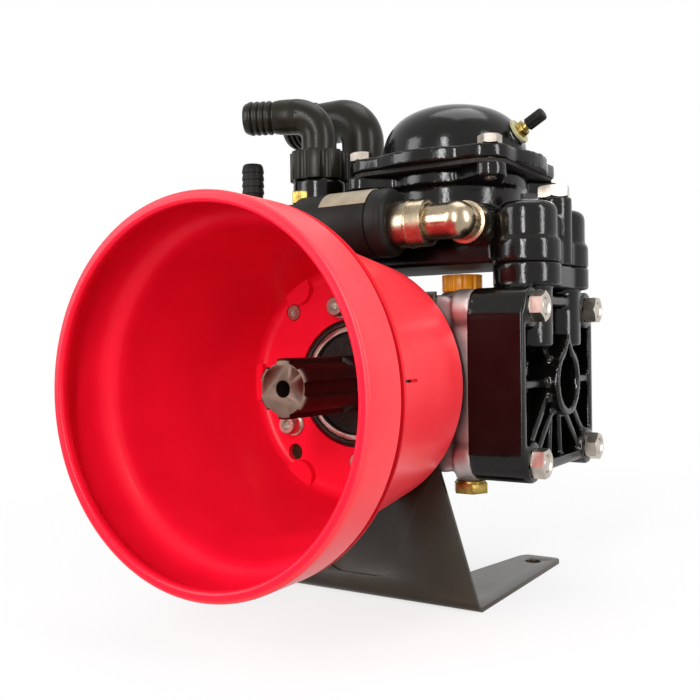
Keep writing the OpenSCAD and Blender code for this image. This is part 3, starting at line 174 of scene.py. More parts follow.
def cast_aluminium():
    # Sand-cast and blasted: pale grey metal, coarse grain, darker in patches where oil has lain, and painted
    # shade on the nose round the shaft seal
    finish, tree, place = begin("cast_aluminium")
    sand = add(tree, "ShaderNodeTexNoise", Vector=place, Scale=1 / (0.8 * MM), Detail=3, Roughness=FALLOFF)
    oil = add(tree, "ShaderNodeTexNoise", Vector=place, Scale=1 / (22 * MM), Detail=4, Roughness=FALLOFF)
    patch = add(tree, "ShaderNodeMapRange", Value=oil, From_Min=NOISE_LOW, From_Max=NOISE_HIGH)
    clean = add(tree, "ShaderNodeMix", RGBA, i0=patch, i6=srgb("#8d8280"), i7=srgb("#b5a9a6")).outputs[2]
    painted_nose_shade = add(tree, "ShaderNodeMix", RGBA, i0=patch, i6=srgb("#2c2725"), i7=srgb("#4a4340")).outputs[2]
    # The nose round the shaft seal is painted dark as shade
    nose_front, nose_r = -54.6 * MM, 41 * MM
    from_crank = add(tree, "ShaderNodeVectorMath", {"operation": "SUBTRACT"}, i0=place, i1=CRANK)
    along = add(tree, "ShaderNodeSeparateXYZ", Vector=from_crank).outputs["Y"]
    flat = add(tree, "ShaderNodeVectorMath", {"operation": "MULTIPLY"}, i0=from_crank, i1=(1, 0, 1))
    radius = add(tree, "ShaderNodeVectorMath", {"operation": "LENGTH"}, i0=flat).outputs["Value"]
    front = add(tree, "ShaderNodeMath", {"operation": "LESS_THAN"}, i0=along, i1=nose_front)
    near = add(tree, "ShaderNodeMath", {"operation": "LESS_THAN"}, i0=radius, i1=nose_r)
    nose = add(tree, "ShaderNodeMath", {"operation": "MULTIPLY"}, i0=front, i1=near)
    colour = add(tree, "ShaderNodeMix", RGBA, i0=nose, i6=clean, i7=painted_nose_shade).outputs[2]
    gloss = add(tree, "ShaderNodeMapRange", Value=sand, To_Min=0.4, To_Max=0.62)
    bump = add(tree, "ShaderNodeBump", Height=sand, Distance=0.12 * MM)
    return close(finish, Base_Color=colour, Roughness=gloss, Normal=bump, Metallic=1.0)


def zinc_plated_steel():
    # Bright zinc: pale, slightly warm metal with cloudy passivation and a fine grain
    finish, tree, place = begin("zinc_plated_steel")
    cloud = add(tree, "ShaderNodeTexNoise", Vector=place, Scale=1 / (5 * MM), Detail=3, Roughness=FALLOFF)
    fine = add(tree, "ShaderNodeTexNoise", Vector=place, Scale=1 / (0.4 * MM), Detail=2, Roughness=FALLOFF)
    patch = add(tree, "ShaderNodeMapRange", Value=cloud, From_Min=NOISE_LOW, From_Max=NOISE_HIGH)
    colour = add(tree, "ShaderNodeMix", RGBA, i0=patch, i6=srgb("#a89d92"), i7=srgb("#cdc3b9")).outputs[2]
    gloss = add(tree, "ShaderNodeMapRange", Value=fine, To_Min=0.22, To_Max=0.4)
    bump = add(tree, "ShaderNodeBump", Height=fine, Distance=0.015 * MM)
    return close(finish, Base_Color=colour, Roughness=gloss, Normal=bump, Metallic=1.0)


def turned_brass():
    # Brass turned from bar, dulled in patches by handling
    finish, tree, place = begin("turned_brass")
    cloud = add(tree, "ShaderNodeTexNoise", Vector=place, Scale=1 / (4 * MM), Detail=4, Roughness=FALLOFF)
    patch = add(tree, "ShaderNodeMapRange", Value=cloud, From_Min=NOISE_LOW, From_Max=NOISE_HIGH)
    colour = add(tree, "ShaderNodeMix", RGBA, i0=patch, i6=srgb("#705a28"), i7=srgb("#aa9250")).outputs[2]
    gloss = add(tree, "ShaderNodeMapRange", Value=cloud, To_Min=0.25, To_Max=0.45)
    return close(finish, Base_Color=colour, Roughness=gloss, Metallic=1.0)


def orange_moulded_plastic():
    # Moulded polypropylene cap: even orange, with a faint painted glow though it is no lamp
    finish, tree, place = begin("orange_moulded_plastic")
    cloud = add(tree, "ShaderNodeTexNoise", Vector=place, Scale=1 / (6 * MM), Detail=3, Roughness=FALLOFF)
    fine = add(tree, "ShaderNodeTexNoise", Vector=place, Scale=1 / (0.5 * MM), Detail=2, Roughness=FALLOFF)
    patch = add(tree, "ShaderNodeMapRange", Value=cloud, From_Min=NOISE_LOW, From_Max=NOISE_HIGH)
    colour = add(tree, "ShaderNodeMix", RGBA, i0=patch, i6=srgb("#e2860e"), i7=srgb("#f2a220")).outputs[2]
    bump = add(tree, "ShaderNodeBump", Height=fine, Distance=0.02 * MM)
    # Painted light: a faint glow in the cap's own orange, so that it reads brighter
    return close(finish, Base_Color=colour, Roughness=0.35, Normal=bump, IOR=1.5,
                 Emission_Color=srgb("#ff9a14"), Emission_Strength=0.1)


def oiled_dark_steel():
    # Hardened splined shaft: nearly black oiled flanks and a bare brown end face
    finish, tree, place = begin("oiled_dark_steel")
    oil = add(tree, "ShaderNodeTexNoise", Vector=place, Scale=1 / (7 * MM), Detail=4, Roughness=FALLOFF)
    fine = add(tree, "ShaderNodeTexNoise", Vector=place, Scale=1 / (0.5 * MM), Detail=2, Roughness=FALLOFF)
    patch = add(tree, "ShaderNodeMapRange", Value=oil, From_Min=NOISE_LOW, From_Max=NOISE_HIGH)
    flank = add(tree, "ShaderNodeMix", RGBA, i0=patch, i6=srgb("#160f0d"), i7=srgb("#271d19")).outputs[2]
    bare = add(tree, "ShaderNodeMix", RGBA, i0=patch, i6=srgb("#58463c"), i7=srgb("#6e594c")).outputs[2]
    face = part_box("pto_shaft")[0][1] + 0.6 * MM
    along = add(tree, "ShaderNodeSeparateXYZ", Vector=place).outputs["Y"]
    end = add(tree, "ShaderNodeMath", {"operation": "LESS_THAN"}, i0=along, i1=face)
    colour = add(tree, "ShaderNodeMix", RGBA, i0=end, i6=flank, i7=bare).outputs[2]
    gloss = add(tree, "ShaderNodeMapRange", Value=oil, To_Min=0.3, To_Max=0.5)
    bump = add(tree, "ShaderNodeBump", Height=fine, Distance=0.02 * MM)
    return close(finish, Base_Color=colour, Roughness=gloss, Normal=bump, Metallic=0.5)


def ground_steel():
    # Ground bearing steel: cool grey, with a fine grain in its gloss
    finish, tree, place = begin("ground_steel")
    fine = add(tree, "ShaderNodeTexNoise", Vector=place, Scale=1 / (0.5 * MM), Detail=2, Roughness=FALLOFF)
    colour = add(tree, "ShaderNodeMix", RGBA, i0=fine, i6=srgb("#94979b"), i7=srgb("#a2a5a9")).outputs[2]
    gloss = add(tree, "ShaderNodeMapRange", Value=fine, To_Min=0.2, To_Max=0.38)
    return close(finish, Base_Color=colour, Roughness=gloss, Metallic=1.0)


def nitrile_rubber():
    # Black seal rubber: dull, with a faint bloom
    finish, tree, place = begin("nitrile_rubber")
    bloom = add(tree, "ShaderNodeTexNoise", Vector=place, Scale=1 / (3 * MM), Detail=4, Roughness=FALLOFF)
    fine = add(tree, "ShaderNodeTexNoise", Vector=place, Scale=1 / (0.6 * MM), Detail=2, Roughness=FALLOFF)
    patch = add(tree, "ShaderNodeMapRange", Value=bloom, From_Min=NOISE_LOW, From_Max=NOISE_HIGH)
    colour = add(tree, "ShaderNodeMix", RGBA, i0=patch, i6=srgb("#1b1817"), i7=srgb("#2e2a27")).outputs[2]
    bump = add(tree, "ShaderNodeBump", Height=fine, Distance=0.03 * MM)
    return close(finish, Base_Color=colour, Roughness=0.7, Normal=bump, IOR=1.52, Specular_IOR_Level=0.15)


def black_enamel():
    # Gloss enamel over a sand casting: deep black, wavy gloss, dull where the spray missed the underside
    finish, tree, place = begin("black_enamel")
    cast = add(tree, "ShaderNodeTexNoise", Vector=place, Scale=1 / (1.6 * MM), Detail=3, Roughness=FALLOFF)
    cloud = add(tree, "ShaderNodeTexNoise", Vector=place, Scale=1 / (14 * MM), Detail=4, Roughness=FALLOFF)
    patch = add(tree, "ShaderNodeMapRange", Value=cloud, From_Min=NOISE_LOW, From_Max=NOISE_HIGH)
    colour = add(tree, "ShaderNodeMix", RGBA, i0=patch, i6=srgb("#050504"), i7=srgb("#0b0a08")).outputs[2]
    normal = add(tree, "ShaderNodeTexCoord").outputs["Normal"]
    up = add(tree, "ShaderNodeSeparateXYZ", Vector=normal).outputs["Z"]
    under = add(tree, "ShaderNodeMapRange", Value=up, From_Min=-0.7, From_Max=-0.95, To_Max=0.6)
    wave = add(tree, "ShaderNodeMapRange", Value=cloud, To_Min=0.08, To_Max=0.2)
    gloss = add(tree, "ShaderNodeMath", {"operation": "MAXIMUM"}, i0=wave, i1=under)
    bump = add(tree, "ShaderNodeBump", Height=cast, Distance=0.08 * MM)
    return close(finish, Base_Color=colour, Roughness=gloss, Normal=bump, IOR=1.5, Specular_IOR_Level=0.26)


def glass_filled_plastic():
    # Glass-filled nylon: matt black with a fine fibre grain
    finish, tree, place = begin("glass_filled_plastic")
    fibre = add(tree, "ShaderNodeTexNoise", Vector=place, Scale=1 / (1.5 * MM), Detail=4, Roughness=FALLOFF)
    cloud = add(tree, "ShaderNodeTexNoise", Vector=place, Scale=1 / (12 * MM), Detail=3, Roughness=FALLOFF)
    patch = add(tree, "ShaderNodeMapRange", Value=cloud, From_Min=NOISE_LOW, From_Max=NOISE_HIGH)
    colour = add(tree, "ShaderNodeMix", RGBA, i0=patch, i6=srgb("#100f0d"), i7=srgb("#1c1a17")).outputs[2]
    gloss = add(tree, "ShaderNodeMapRange", Value=fibre, To_Min=0.38, To_Max=0.56)
    bump = add(tree, "ShaderNodeBump", Height=fibre, Distance=0.16 * MM)
    return close(finish, Base_Color=colour, Roughness=gloss, Normal=bump, IOR=1.5, Specular_IOR_Level=0.12)


def olive_black_plastic():
    # Moulded polypropylene elbows: black with an olive cast and a soft gloss
    finish, tree, place = begin("olive_black_plastic")
    cloud = add(tree, "ShaderNodeTexNoise", Vector=place, Scale=1 / (18 * MM), Detail=3, Roughness=FALLOFF)
    fine = add(tree, "ShaderNodeTexNoise", Vector=place, Scale=1 / (0.8 * MM), Detail=2, Roughness=FALLOFF)
    patch = add(tree, "ShaderNodeMapRange", Value=cloud, From_Min=NOISE_LOW, From_Max=NOISE_HIGH)
    colour = add(tree, "ShaderNodeMix", RGBA, i0=patch, i6=srgb("#12110c"), i7=srgb("#211f17")).outputs[2]
    gloss = add(tree, "ShaderNodeMapRange", Value=fine, To_Min=0.22, To_Max=0.36)
    bump = add(tree, "ShaderNodeBump", Height=fine, Distance=0.02 * MM)
    return close(finish, Base_Color=colour, Roughness=gloss, Normal=bump, IOR=1.49, Specular_IOR_Level=0.15)


def warm_nickel_plate():
    # Nickel over brass: warm pale metal, polished, with faint clouding
    finish, tree, place = begin("warm_nickel_plate")
    cloud = add(tree, "ShaderNodeTexNoise", Vector=place, Scale=1 / (8 * MM), Detail=4, Roughness=FALLOFF)
    patch = add(tree, "ShaderNodeMapRange", Value=cloud, From_Min=NOISE_LOW, From_Max=NOISE_HIGH)
    colour = add(tree, "ShaderNodeMix", RGBA, i0=patch, i6=srgb("#90816b"), i7=srgb("#b0a089")).outputs[2]
    gloss = add(tree, "ShaderNodeMapRange", Value=cloud, To_Min=0.2, To_Max=0.34)
    return close(finish, Base_Color=colour, Roughness=gloss, Metallic=1.0)


def blank_paper_label():
    # Coated paper: pale, slightly pink, with a soft sheen
    finish, tree, place = begin("blank_paper_label")
    cloud = add(tree, "ShaderNodeTexNoise", Vector=place, Scale=1 / (9 * MM), Detail=3, Roughness=FALLOFF)
    patch = add(tree, "ShaderNodeMapRange", Value=cloud, From_Min=NOISE_LOW, From_Max=NOISE_HIGH)
    colour = add(tree, "ShaderNodeMix", RGBA, i0=patch, i6=srgb("#7c725f"), i7=srgb("#8f8470")).outputs[2]
    return close(finish, Base_Color=colour, Roughness=0.4, IOR=1.45)


def yellow_seal():
    # Moulded sealing washer: dull straw yellow, a little cloudy
    finish, tree, place = begin("yellow_seal")
    cloud = add(tree, "ShaderNodeTexNoise", Vector=place, Scale=1 / (3 * MM), Detail=3, Roughness=FALLOFF)
    patch = add(tree, "ShaderNodeMapRange", Value=cloud, From_Min=NOISE_LOW, From_Max=NOISE_HIGH)
    colour = add(tree, "ShaderNodeMix", RGBA, i0=patch, i6=srgb("#8f8a62"), i7=srgb("#b2ab84")).outputs[2]
    return close(finish, Base_Color=colour, Roughness=0.42, IOR=1.5)


FINISHES = {
    "guard_red": red_moulded_plastic(),
    "bracket_paint": satin_black_paint(),
    "cast_aluminium": cast_aluminium(),
    "zinc_steel": zinc_plated_steel(),
    "brass": turned_brass(),
    "orange_plastic": orange_moulded_plastic(),
    "shaft_steel": oiled_dark_steel(),
    "ground_steel": ground_steel(),
    "seal_rubber": nitrile_rubber(),
    "black_enamel": black_enamel(),
    "black_plastic": glass_filled_plastic(),
    "elbow_plastic": olive_black_plastic(),
    "nickel": warm_nickel_plate(),
    "label": blank_paper_label(),
    "washer_yellow": yellow_seal(),
}

# Each node's finish and moving body, from the record
SLOT_OF = {row["node"]: row["material_slot"] for row in frame["record"]["subparts"]}
BODY_OF = {node: body for body, nodes in frame["record"]["behaviour"]["bodies"].items() for node in nodes}

for node, part in frame["nodes"].items():
    for slot in part.material_slots:
        slot.material = FINISHES[SLOT_OF[node]]

# Making pieces


def select_only(piece):
    bpy.ops.object.select_all(action="DESELECT")
    piece.select_set(True)
    bpy.context.view_layer.objects.active = piece


def open_mesh(piece):
    """Goes into edit mode with the whole mesh selected."""
    select_only(piece)
    bpy.ops.object.mode_set(mode="EDIT")
    bpy.ops.mesh.select_all(action="SELECT")


def close_mesh():
    bpy.ops.object.mode_set(mode="OBJECT")


def apply_modifiers(piece):
    select_only(piece)
    for modifier in list(piece.modifiers):
        bpy.ops.object.modifier_apply(modifier=modifier.name)


def set_down(piece, turn, place):
    """Turns a piece about the origin if a turn is given, moves it and keeps both in its mesh."""
    matrix = Matrix.Translation(place) @ (turn or Matrix.Identity(4))
    piece.matrix_world = matrix @ piece.matrix_world
    select_only(piece)
    bpy.ops.object.transform_apply(location=True, rotation=True, scale=True)


def copy_of(piece, turn, place):
    """A copy with a mesh of its own, turned and moved."""
    twin = piece.copy()
    twin.data = piece.data.copy()
    bpy.context.collection.objects.link(twin)
    set_down(twin, turn, place)
    return twin


def joined(name, pieces):
    """Several pieces as one mesh."""
    bpy.ops.object.select_all(action="DESELECT")
    for piece in pieces:
        piece.select_set(True)
    bpy.context.view_layer.objects.active = pieces[0]
    bpy.ops.object.join()
    pieces[0].name = name
    return pieces[0]


def boolean(piece, tool, operation):
    """Cuts a piece with a tool, adds it or keeps what they share, and deletes the tool."""
    cut = piece.modifiers.new("cut", "BOOLEAN")
    cut.operation = operation
    cut.object = tool
    apply_modifiers(piece)
    bpy.data.objects.remove(tool)


def smooth(piece, degrees):
    """Clears the slivers that cutting leaves, then smooths all but the real edges."""
    open_mesh(piece)
    bpy.ops.mesh.remove_doubles(threshold=SLIVER)
    bpy.ops.mesh.dissolve_degenerate(threshold=SLIVER)
    close_mesh()
    bpy.ops.object.shade_smooth_by_angle(angle=math.radians(degrees))


def dress(piece, node, *more):
    """Puts a piece in the place of one or more CAD nodes, with their body and finish."""
    piece.data.materials.clear()
    piece.data.materials.append(FINISHES[SLOT_OF[node]])
    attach(piece, BODY_OF[node])
    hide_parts(node, *more)


def arc(across, along, radius, start, end, count):
    """Points of an outline's rounded corner, by its centre, radius, angles and number of steps."""
    turns = [math.radians(start + (end - start) * i / count) for i in range(count + 1)]
    return [(across + radius * math.cos(t), along + radius * math.sin(t)) for t in turns]


def lathe(name, outline, steps):
    """Spins an outline of (radius, height) points in millimetres once round Z."""
    bpy.ops.object.select_all(action="DESELECT")
    bpy.ops.mesh.primitive_plane_add(size=MM, location=(0, 0, 0))
    piece = bpy.context.object
    piece.name = name
    open_mesh(piece)
    bpy.ops.mesh.merge(type="CENTER")
    here = Vector((0, 0, 0))
    for i, (radius, height) in enumerate(outline):
        there = Vector((radius, 0, height)) * MM
        if i == 0:
            bpy.ops.transform.translate(value=there)
        else:
            bpy.ops.mesh.extrude_region_move(TRANSFORM_OT_translate={"value": there - here})
        here = there
    bpy.ops.mesh.select_all(action="SELECT")
    bpy.ops.mesh.spin(steps=steps, angle=2 * math.pi, center=(0, 0, 0), axis=(0, 0, 1))
    bpy.ops.mesh.select_all(action="SELECT")
    bpy.ops.mesh.remove_doubles(threshold=SLIVER)
    bpy.ops.mesh.normals_make_consistent(inside=False)
    close_mesh()
    return piece


def drum(name, radius, length, place, turn=None, sides=48):
    """A cylinder, or with few sides a prism, about its own middle."""
    bpy.ops.object.select_all(action="DESELECT")
    bpy.ops.mesh.primitive_cylinder_add(vertices=sides, radius=radius * MM, depth=length * MM)
    piece = bpy.context.object
    piece.name = name
    set_down(piece, turn, place)
    return piece


def block(name, size, place):
    """A box of a size in millimetres, about its own middle."""
    bpy.ops.object.select_all(action="DESELECT")
    bpy.ops.mesh.primitive_cube_add(size=1)
    piece = bpy.context.object
    piece.name = name
    set_down(piece, Matrix.Diagonal((*(Vector(size) * MM), 1.0)), place)
    return piece


TO_FRONT = Matrix.Rotation(math.pi / 2, 4, "X")
TO_RIGHT = Matrix.Rotation(math.pi / 2, 4, "Y")
TO_LEFT = Matrix.Rotation(-math.pi / 2, 4, "Y")


def hexagon(name, across, height):
    """A chamfered hexagon that stands on the origin."""
    prism = drum(name, across / 2 / math.cos(math.pi / 6), height, above(height / 2), sides=6)
    flat, wide, drop = across * 0.49, across * 0.62, across * 0.07
    barrel = lathe("chamfer", [(0, 0), (flat, 0), (wide, drop), (wide, height - drop), (flat, height),
                               (0, height)], 48)
    boolean(prism, barrel, "INTERSECT")
    return prism


# The length of a thread's chamfered tip, in millimetres
TIP = 0.8


def threaded_rod(name, radius, plain, threaded):
    """A rod along Z: a plain length, then rings that read as a thread, and a chamfered tip."""
    pitch = 1.5
    root, tip_in = radius - 0.48 * pitch, 0.3
    valley, crest = 0.45 * pitch, 0.9 * pitch
    rings = int(threaded / pitch)
    outline = [(0, 0), (radius, 0), (radius, plain)]
    for i in range(rings):
        base = plain + i * pitch
        outline += [(root, base + valley), (radius, base + crest), (radius, base + pitch)]
    end = plain + rings * pitch + TIP
    outline += [(root - tip_in, end), (0, end)]
    return lathe(name, outline, 40)


def merged_copy(node):
    """A copy of a CAD node with its triangles joined at their corners."""
    piece = frame["nodes"][node].copy()
    piece.data = piece.data.copy()
    piece.name = node + "_piece"
    piece.parent = None
    for key in list(piece.keys()):
        del piece[key]
    bpy.context.collection.objects.link(piece)
    open_mesh(piece)
    bpy.ops.mesh.remove_doubles(threshold=WELD)
    close_mesh()
    return piece


# Castings and mouldings


def softened(node, voxel_mm, rounds, swell=None):
    """A casting with the rounded edges that a mould gives, from the node's solid and what swells it."""
    piece = merged_copy(node)
    if swell:
        boolean(piece, swell, "UNION")
    remesh = piece.modifiers.new("skin", "REMESH")
    remesh.mode = "VOXEL"
    remesh.voxel_size = voxel_mm * MM
    settle = piece.modifiers.new("settle", "SMOOTH")
    settle.factor = 0.5
    settle.iterations = rounds
    apply_modifiers(piece)
    select_only(piece)
    bpy.ops.object.shade_smooth()
    dress(piece, node)


def edged(node, width_mm, turn=None, place=None):
    """A machined or folded piece with its sharp edges broken, turned about a place where that is given."""
    flat_below, sharp_above = math.radians(0.6), math.radians(38)
    piece = merged_copy(node)
    if turn:
        set_down(piece, None, -place)
        set_down(piece, turn, place)
    open_mesh(piece)
    bpy.ops.mesh.dissolve_limited(angle_limit=flat_below)
    close_mesh()
    edge = piece.modifiers.new("edge", "BEVEL")
    edge.width = width_mm * MM
    edge.segments = 2
    edge.limit_method = "ANGLE"
    edge.angle_limit = sharp_above
    apply_modifiers(piece)
    smooth(piece, 32)
    dress(piece, node)
    return piece


for side in ("right", "left"):
    softened(side + "_head", voxel_mm=1.25, rounds=3)
softened("manifold", voxel_mm=1.4, rounds=3)
softened("crankcase", voxel_mm=1.6, rounds=3)

# The middle of the dome's flange from the crank centre, its underside and its thickness
DOME_X, DOME_Y, FLANGE_Z, FLANGE_T = 36, 14.5, 137, 9


def swelled_dome():
    """The dome, whose flange swells out between its bolts."""
    inner, outer = 50, 62.5
    ring = [(inner, 0), (outer, 0), (outer, FLANGE_T), (inner, FLANGE_T), (inner, 0)]
    swell = lathe("flange_swell", ring, 128)
    set_down(swell, None, crank(DOME_X, DOME_Y, FLANGE_Z))
    softened("accumulator_dome", voxel_mm=1.2, rounds=8, swell=swell)


swelled_dome()

# How wide the broken edges of each machined or moulded piece are
EDGES_MM = {
    "base_bracket": 0.5, "rear_cover": 0.6, "rear_cover_screws": 0.4, "drain_plug": 0.5,
    "oil_filler_cap": 0.6, "pto_shaft": 0.5, "control_unit": 0.6, "control_bonnet": 0.4,
    "regulator_knob": 0.4, "gauge_plug": 0.4, "outlet_elbow": 0.5, "outlet_collar": 0.5,
    "return_nut": 0.7, "suction_elbow": 0.4, "delivery_tail": 0.3, "air_valve": 0.3,
}

for node, width in EDGES_MM.items():
    edged(node, width)

# The snap ring lies with its ears to the right
edged("snap_ring", 0.3, Matrix.Rotation(math.radians(135), 4, "Y"), CRANK)


def return_elbow():
    """The elbow, with its tube as thick as the rings until they begin."""
    elbow = edged("return_elbow", 0.35)
    tail = next(row for row in frame["record"]["mounts"] if row["name"] == "return_tail")
    axis = Vector(tail["axis"])
    tube_length, bore = 25, 10.2
    tube_start = Vector(tail["pos_m"]) - tube_length * MM * axis
    sleeve = lathe("sleeve", [(bore, -1), (12.45, -1), (12.45, 5), (12.2, 11), (11.6, 14.6), (10.9, 16.4),
                              (bore, 16.6), (bore, -1)], 64)
    set_down(sleeve, axis.to_track_quat("Z", "Y").to_matrix().to_4x4(), tube_start)
    boolean(elbow, sleeve, "UNION")
    smooth(elbow, 32)


return_elbow()

# Guard

# Its back plate's two faces, along the shaft from the crank centre, and its screws beside the shaft
GUARD_BACK, GUARD_PLATE = 57, 61
GUARD_SCREWS = ((-46.5, -27.5), (46.5, 27.5), (-8, 48.8), (8, -48.8))


def guard_lobes():
    """The raised lobes and lugs where the cone meets the back plate."""
    thick, lobe_r, wall_r = 6, 10, 75.5
    lobe_x, lobe_z, lug_x, lug_wide, lug_high = 40, 61, 73, 8, 24
    middle = -(GUARD_PLATE + 2)
    lobes = [drum("lobe", lobe_r, thick, crank(x, middle, z), TO_FRONT)
             for x in (-lobe_x, lobe_x) for z in (-lobe_z, lobe_z)]
    lobes += [block("lug", (lug_wide, thick, lug_high), crank(x, middle, 0)) for x in (-lug_x, lug_x)]
    lobes = joined("lobes", lobes)
    boolean(lobes, drum("limit", wall_r, 20, crank(0, middle, 0), TO_FRONT, 128), "INTERSECT")
    return lobes


def guard_outline():
    """The guard's section, out along its outside, round the lip and back along its inside."""
    opening, edge = 41, 0.5
    cone_r, heel_out, heel_in = 67.5, 10, 7
    mouth, lip_r, rim_in, lip_round = 212, 102, 95.5, 2.2
    outline = [(opening, GUARD_BACK + edge), (opening + edge, GUARD_BACK)]
    outline += arc(cone_r, GUARD_BACK + heel_out, heel_out, -90, 0, 8)
    outline += [(91.6, 172.5), (92.6, 175.5), (94.2, 176.8)]
    # The groove behind the rim
    outline += arc(100.4, 178, 1.2, -90, 0, 4)
    outline += [(101.6, 178.4), (98.4, 179.1), (98.4, 182.6), (101.8, 183.3)]
    outline += [(lip_r, 205)] + arc(lip_r - lip_round, mouth - lip_round, lip_round, 0, 90, 6)
    outline += arc(rim_in + lip_round, mouth - lip_round, lip_round, 90, 180, 6)
    # The bead inside the lip, the rim and the step down to the cone
    outline += [(rim_in, 207.5), (96.6, 205.6), (98.6, 203.8), (98.9, 201), (98.8, 194), (98.4, 188.6),
                (97.6, 185), (96.3, 182), (94.6, 179.8), (92.6, 178), (90.8, 176.2), (89.6, 173.8),
                (88.7, 170.5), (88, 166)]
    outline += arc(cone_r, GUARD_PLATE + heel_in, heel_in, 0, -90, 8)
    return outline + [(opening, GUARD_PLATE), (opening, GUARD_BACK + edge)]


def moulded_guard():
    """The flared guard, spun from its section, with its holes, its slit and its lobes."""
    screw_r, plain_r, plain_reach, deep = 4.05, 5.4, 46, 8
    guard = lathe("moulded_guard", guard_outline(), 192)
    set_down(guard, TO_FRONT, CRANK)
    holes = [(x, z, screw_r) for x, z in GUARD_SCREWS]
    holes += [(x * plain_reach, z * plain_reach, plain_r) for x, z in ((-1, 1), (1, 1), (1, -1), (-1, -1))]
    middle = -(GUARD_BACK + GUARD_PLATE) / 2
    tools = [drum("hole", radius, deep, crank(x, middle, z), TO_FRONT) for x, z, radius in holes]
    tools.append(block("slit", (14, 20, 1.8), crank(88, -149, 6)))
    boolean(guard, joined("holes", tools), "DIFFERENCE")
    boolean(guard, guard_lobes(), "UNION")
    smooth(guard, 32)
    dress(guard, "pto_guard")


moulded_guard()

# Fasteners


def spin(degrees):
    """A turn about Z, so that the fasteners don't all stand alike."""
    return Matrix.Rotation(math.radians(degrees), 4, "Z")


def fasten(name, one, settings, *nodes):
    """Copies one fastener to every turn and place, as one piece in the place of its CAD nodes."""
    copies = [copy_of(one, turn, place) for turn, place in settings]
    bpy.data.objects.remove(one)
    piece = joined(name, copies)
    smooth(piece, 25)
    dress(piece, *nodes)


def head_fasteners():
    """A stud and its nut on each head corner."""
    start, seat, nut_h = 69, 115.5, 8
    stud_r, hole_r, mouth_r, over = 5, 5.02, 6.2, 0.2
    into_nut, short = 0.6, 1.2
    reach_y, reach_z = 49.5, 45.2
    rod = threaded_rod("stud", stud_r, plain=seat - start + into_nut, threaded=nut_h - short)
    nut = hexagon("nut", 16, nut_h)
    hole = lathe("hole", [(0, -1), (hole_r, -1), (hole_r, nut_h - 1), (mouth_r, nut_h + over),
                          (0, nut_h + over)], 40)
    boolean(nut, hole, "DIFFERENCE")
    set_down(nut, None, above(seat - start))
    corners = [(y, z) for y in (-reach_y, reach_y) for z in (-reach_z, reach_z)]
    settings = [(turn @ spin(17 * i + 8 * side), crank(side * start, y, z))
                for side, turn in ((1, TO_RIGHT), (-1, TO_LEFT)) for i, (y, z) in enumerate(corners)]
    fasten("head_studs_and_nuts", joined("stud_and_nut", [rod, nut]), settings, "head_nuts", "head_studs")


def bolt(name, radius, across, head, shank):
    """A hexagon bolt whose head stands on the origin."""
    sunk = 0.01
    cap = hexagon("cap", across, head)
    rod = threaded_rod("rod", radius, plain=shank * 0.4, threaded=shank * 0.6 - TIP)
    set_down(rod, Matrix.Rotation(math.pi, 4, "X"), above(sunk))
    return joined(name, [cap, rod])


def accumulator_fasteners():
    """A bolt on each corner of the dome's flange."""
    reach = 46
    one = bolt("flange_bolt", radius=4, across=13, head=5.6, shank=22)
    corners = [(x, y) for x in (-reach, reach) for y in (-reach, reach)]
    settings = [(spin(23 * i + 10), crank(DOME_X + x, DOME_Y + y, FLANGE_Z + FLANGE_T))
                for i, (x, y) in enumerate(corners)]
    fasten("accumulator_bolt_set", one, settings, "accumulator_bolts")


def manifold_clamps():
    """The bolt that holds each arm of the manifold down on its head."""
    reach, seat = 111, 114
    one = bolt("clamp_bolt", radius=6, across=18, head=7.5, shank=53)
    settings = [(spin(12 * side), crank(side * reach, 0, seat)) for side in (-1, 1)]
    fasten("manifold_clamp_bolts", one, settings, "manifold_bolts")


def socket_screw(name, radius, shank, head_r, head, socket_r, deep, washer_r, washer_t):
    """A socket screw on its washer, which stands on the origin."""
    edge, chamfer_in, chamfer_down = 0.5, 1, 1.2
    top = washer_t + head
    outline = [(0, -shank), (radius - edge, -shank), (radius, edge - shank), (radius, 0)]
    outline += [(washer_r - edge, 0), (washer_r, edge), (washer_r, washer_t - edge),
                (washer_r - edge, washer_t)]
    outline += [(head_r, washer_t), (head_r, top - chamfer_down), (head_r - chamfer_in, top), (0, top)]
    piece = lathe(name, outline, 48)
    boolean(piece, drum("socket", socket_r, 2 * deep, above(top), sides=6), "DIFFERENCE")
    return piece


def guard_fasteners():
    """The socket screws in the guard's back plate."""
    one = socket_screw("guard_screw", radius=4, shank=17, head_r=6.5, head=8, socket_r=3.4, deep=5,
                       washer_r=8, washer_t=1.5)
    settings = [(TO_FRONT @ spin(math.degrees(0.4 * i)), crank(x, -GUARD_PLATE, z))
                for i, (x, z) in enumerate(GUARD_SCREWS)]
    fasten("guard_screw_set", one, settings, "guard_screws")


head_fasteners()
accumulator_fasteners()
manifold_clamps()
guard_fasteners()

# Valve springs


def valve_springs():
    """The wire springs, each held by its cage at one end, as smoothed copies of their CAD nodes."""
    joints = frame["record"]["behaviour"]["joints"]
    lifts = {row["name"]: row["range_m"][1] for row in joints if "lift" in row["name"]}
    for joint, lift in lifts.items():
        node = joint.replace("lift", "spring")
        spring = merged_copy(node)
        smooth(spring, 40)
        dress(spring, node)
        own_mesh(spring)


valve_springs()

# Stage, light and camera


def seen_rays(tree):
    """1 for what the camera, metal and glass look at, 0 for the light that falls on a surface."""
    path = add(tree, "ShaderNodeLightPath").outputs
    seen = add(tree, "ShaderNodeMath", {"operation": "MAXIMUM"}, i0=path["Is Camera Ray"],
               i1=path["Is Glossy Ray"])
    return add(tree, "ShaderNodeMath", {"operation": "MAXIMUM"}, i0=seen, i1=path["Is Transmission Ray"])


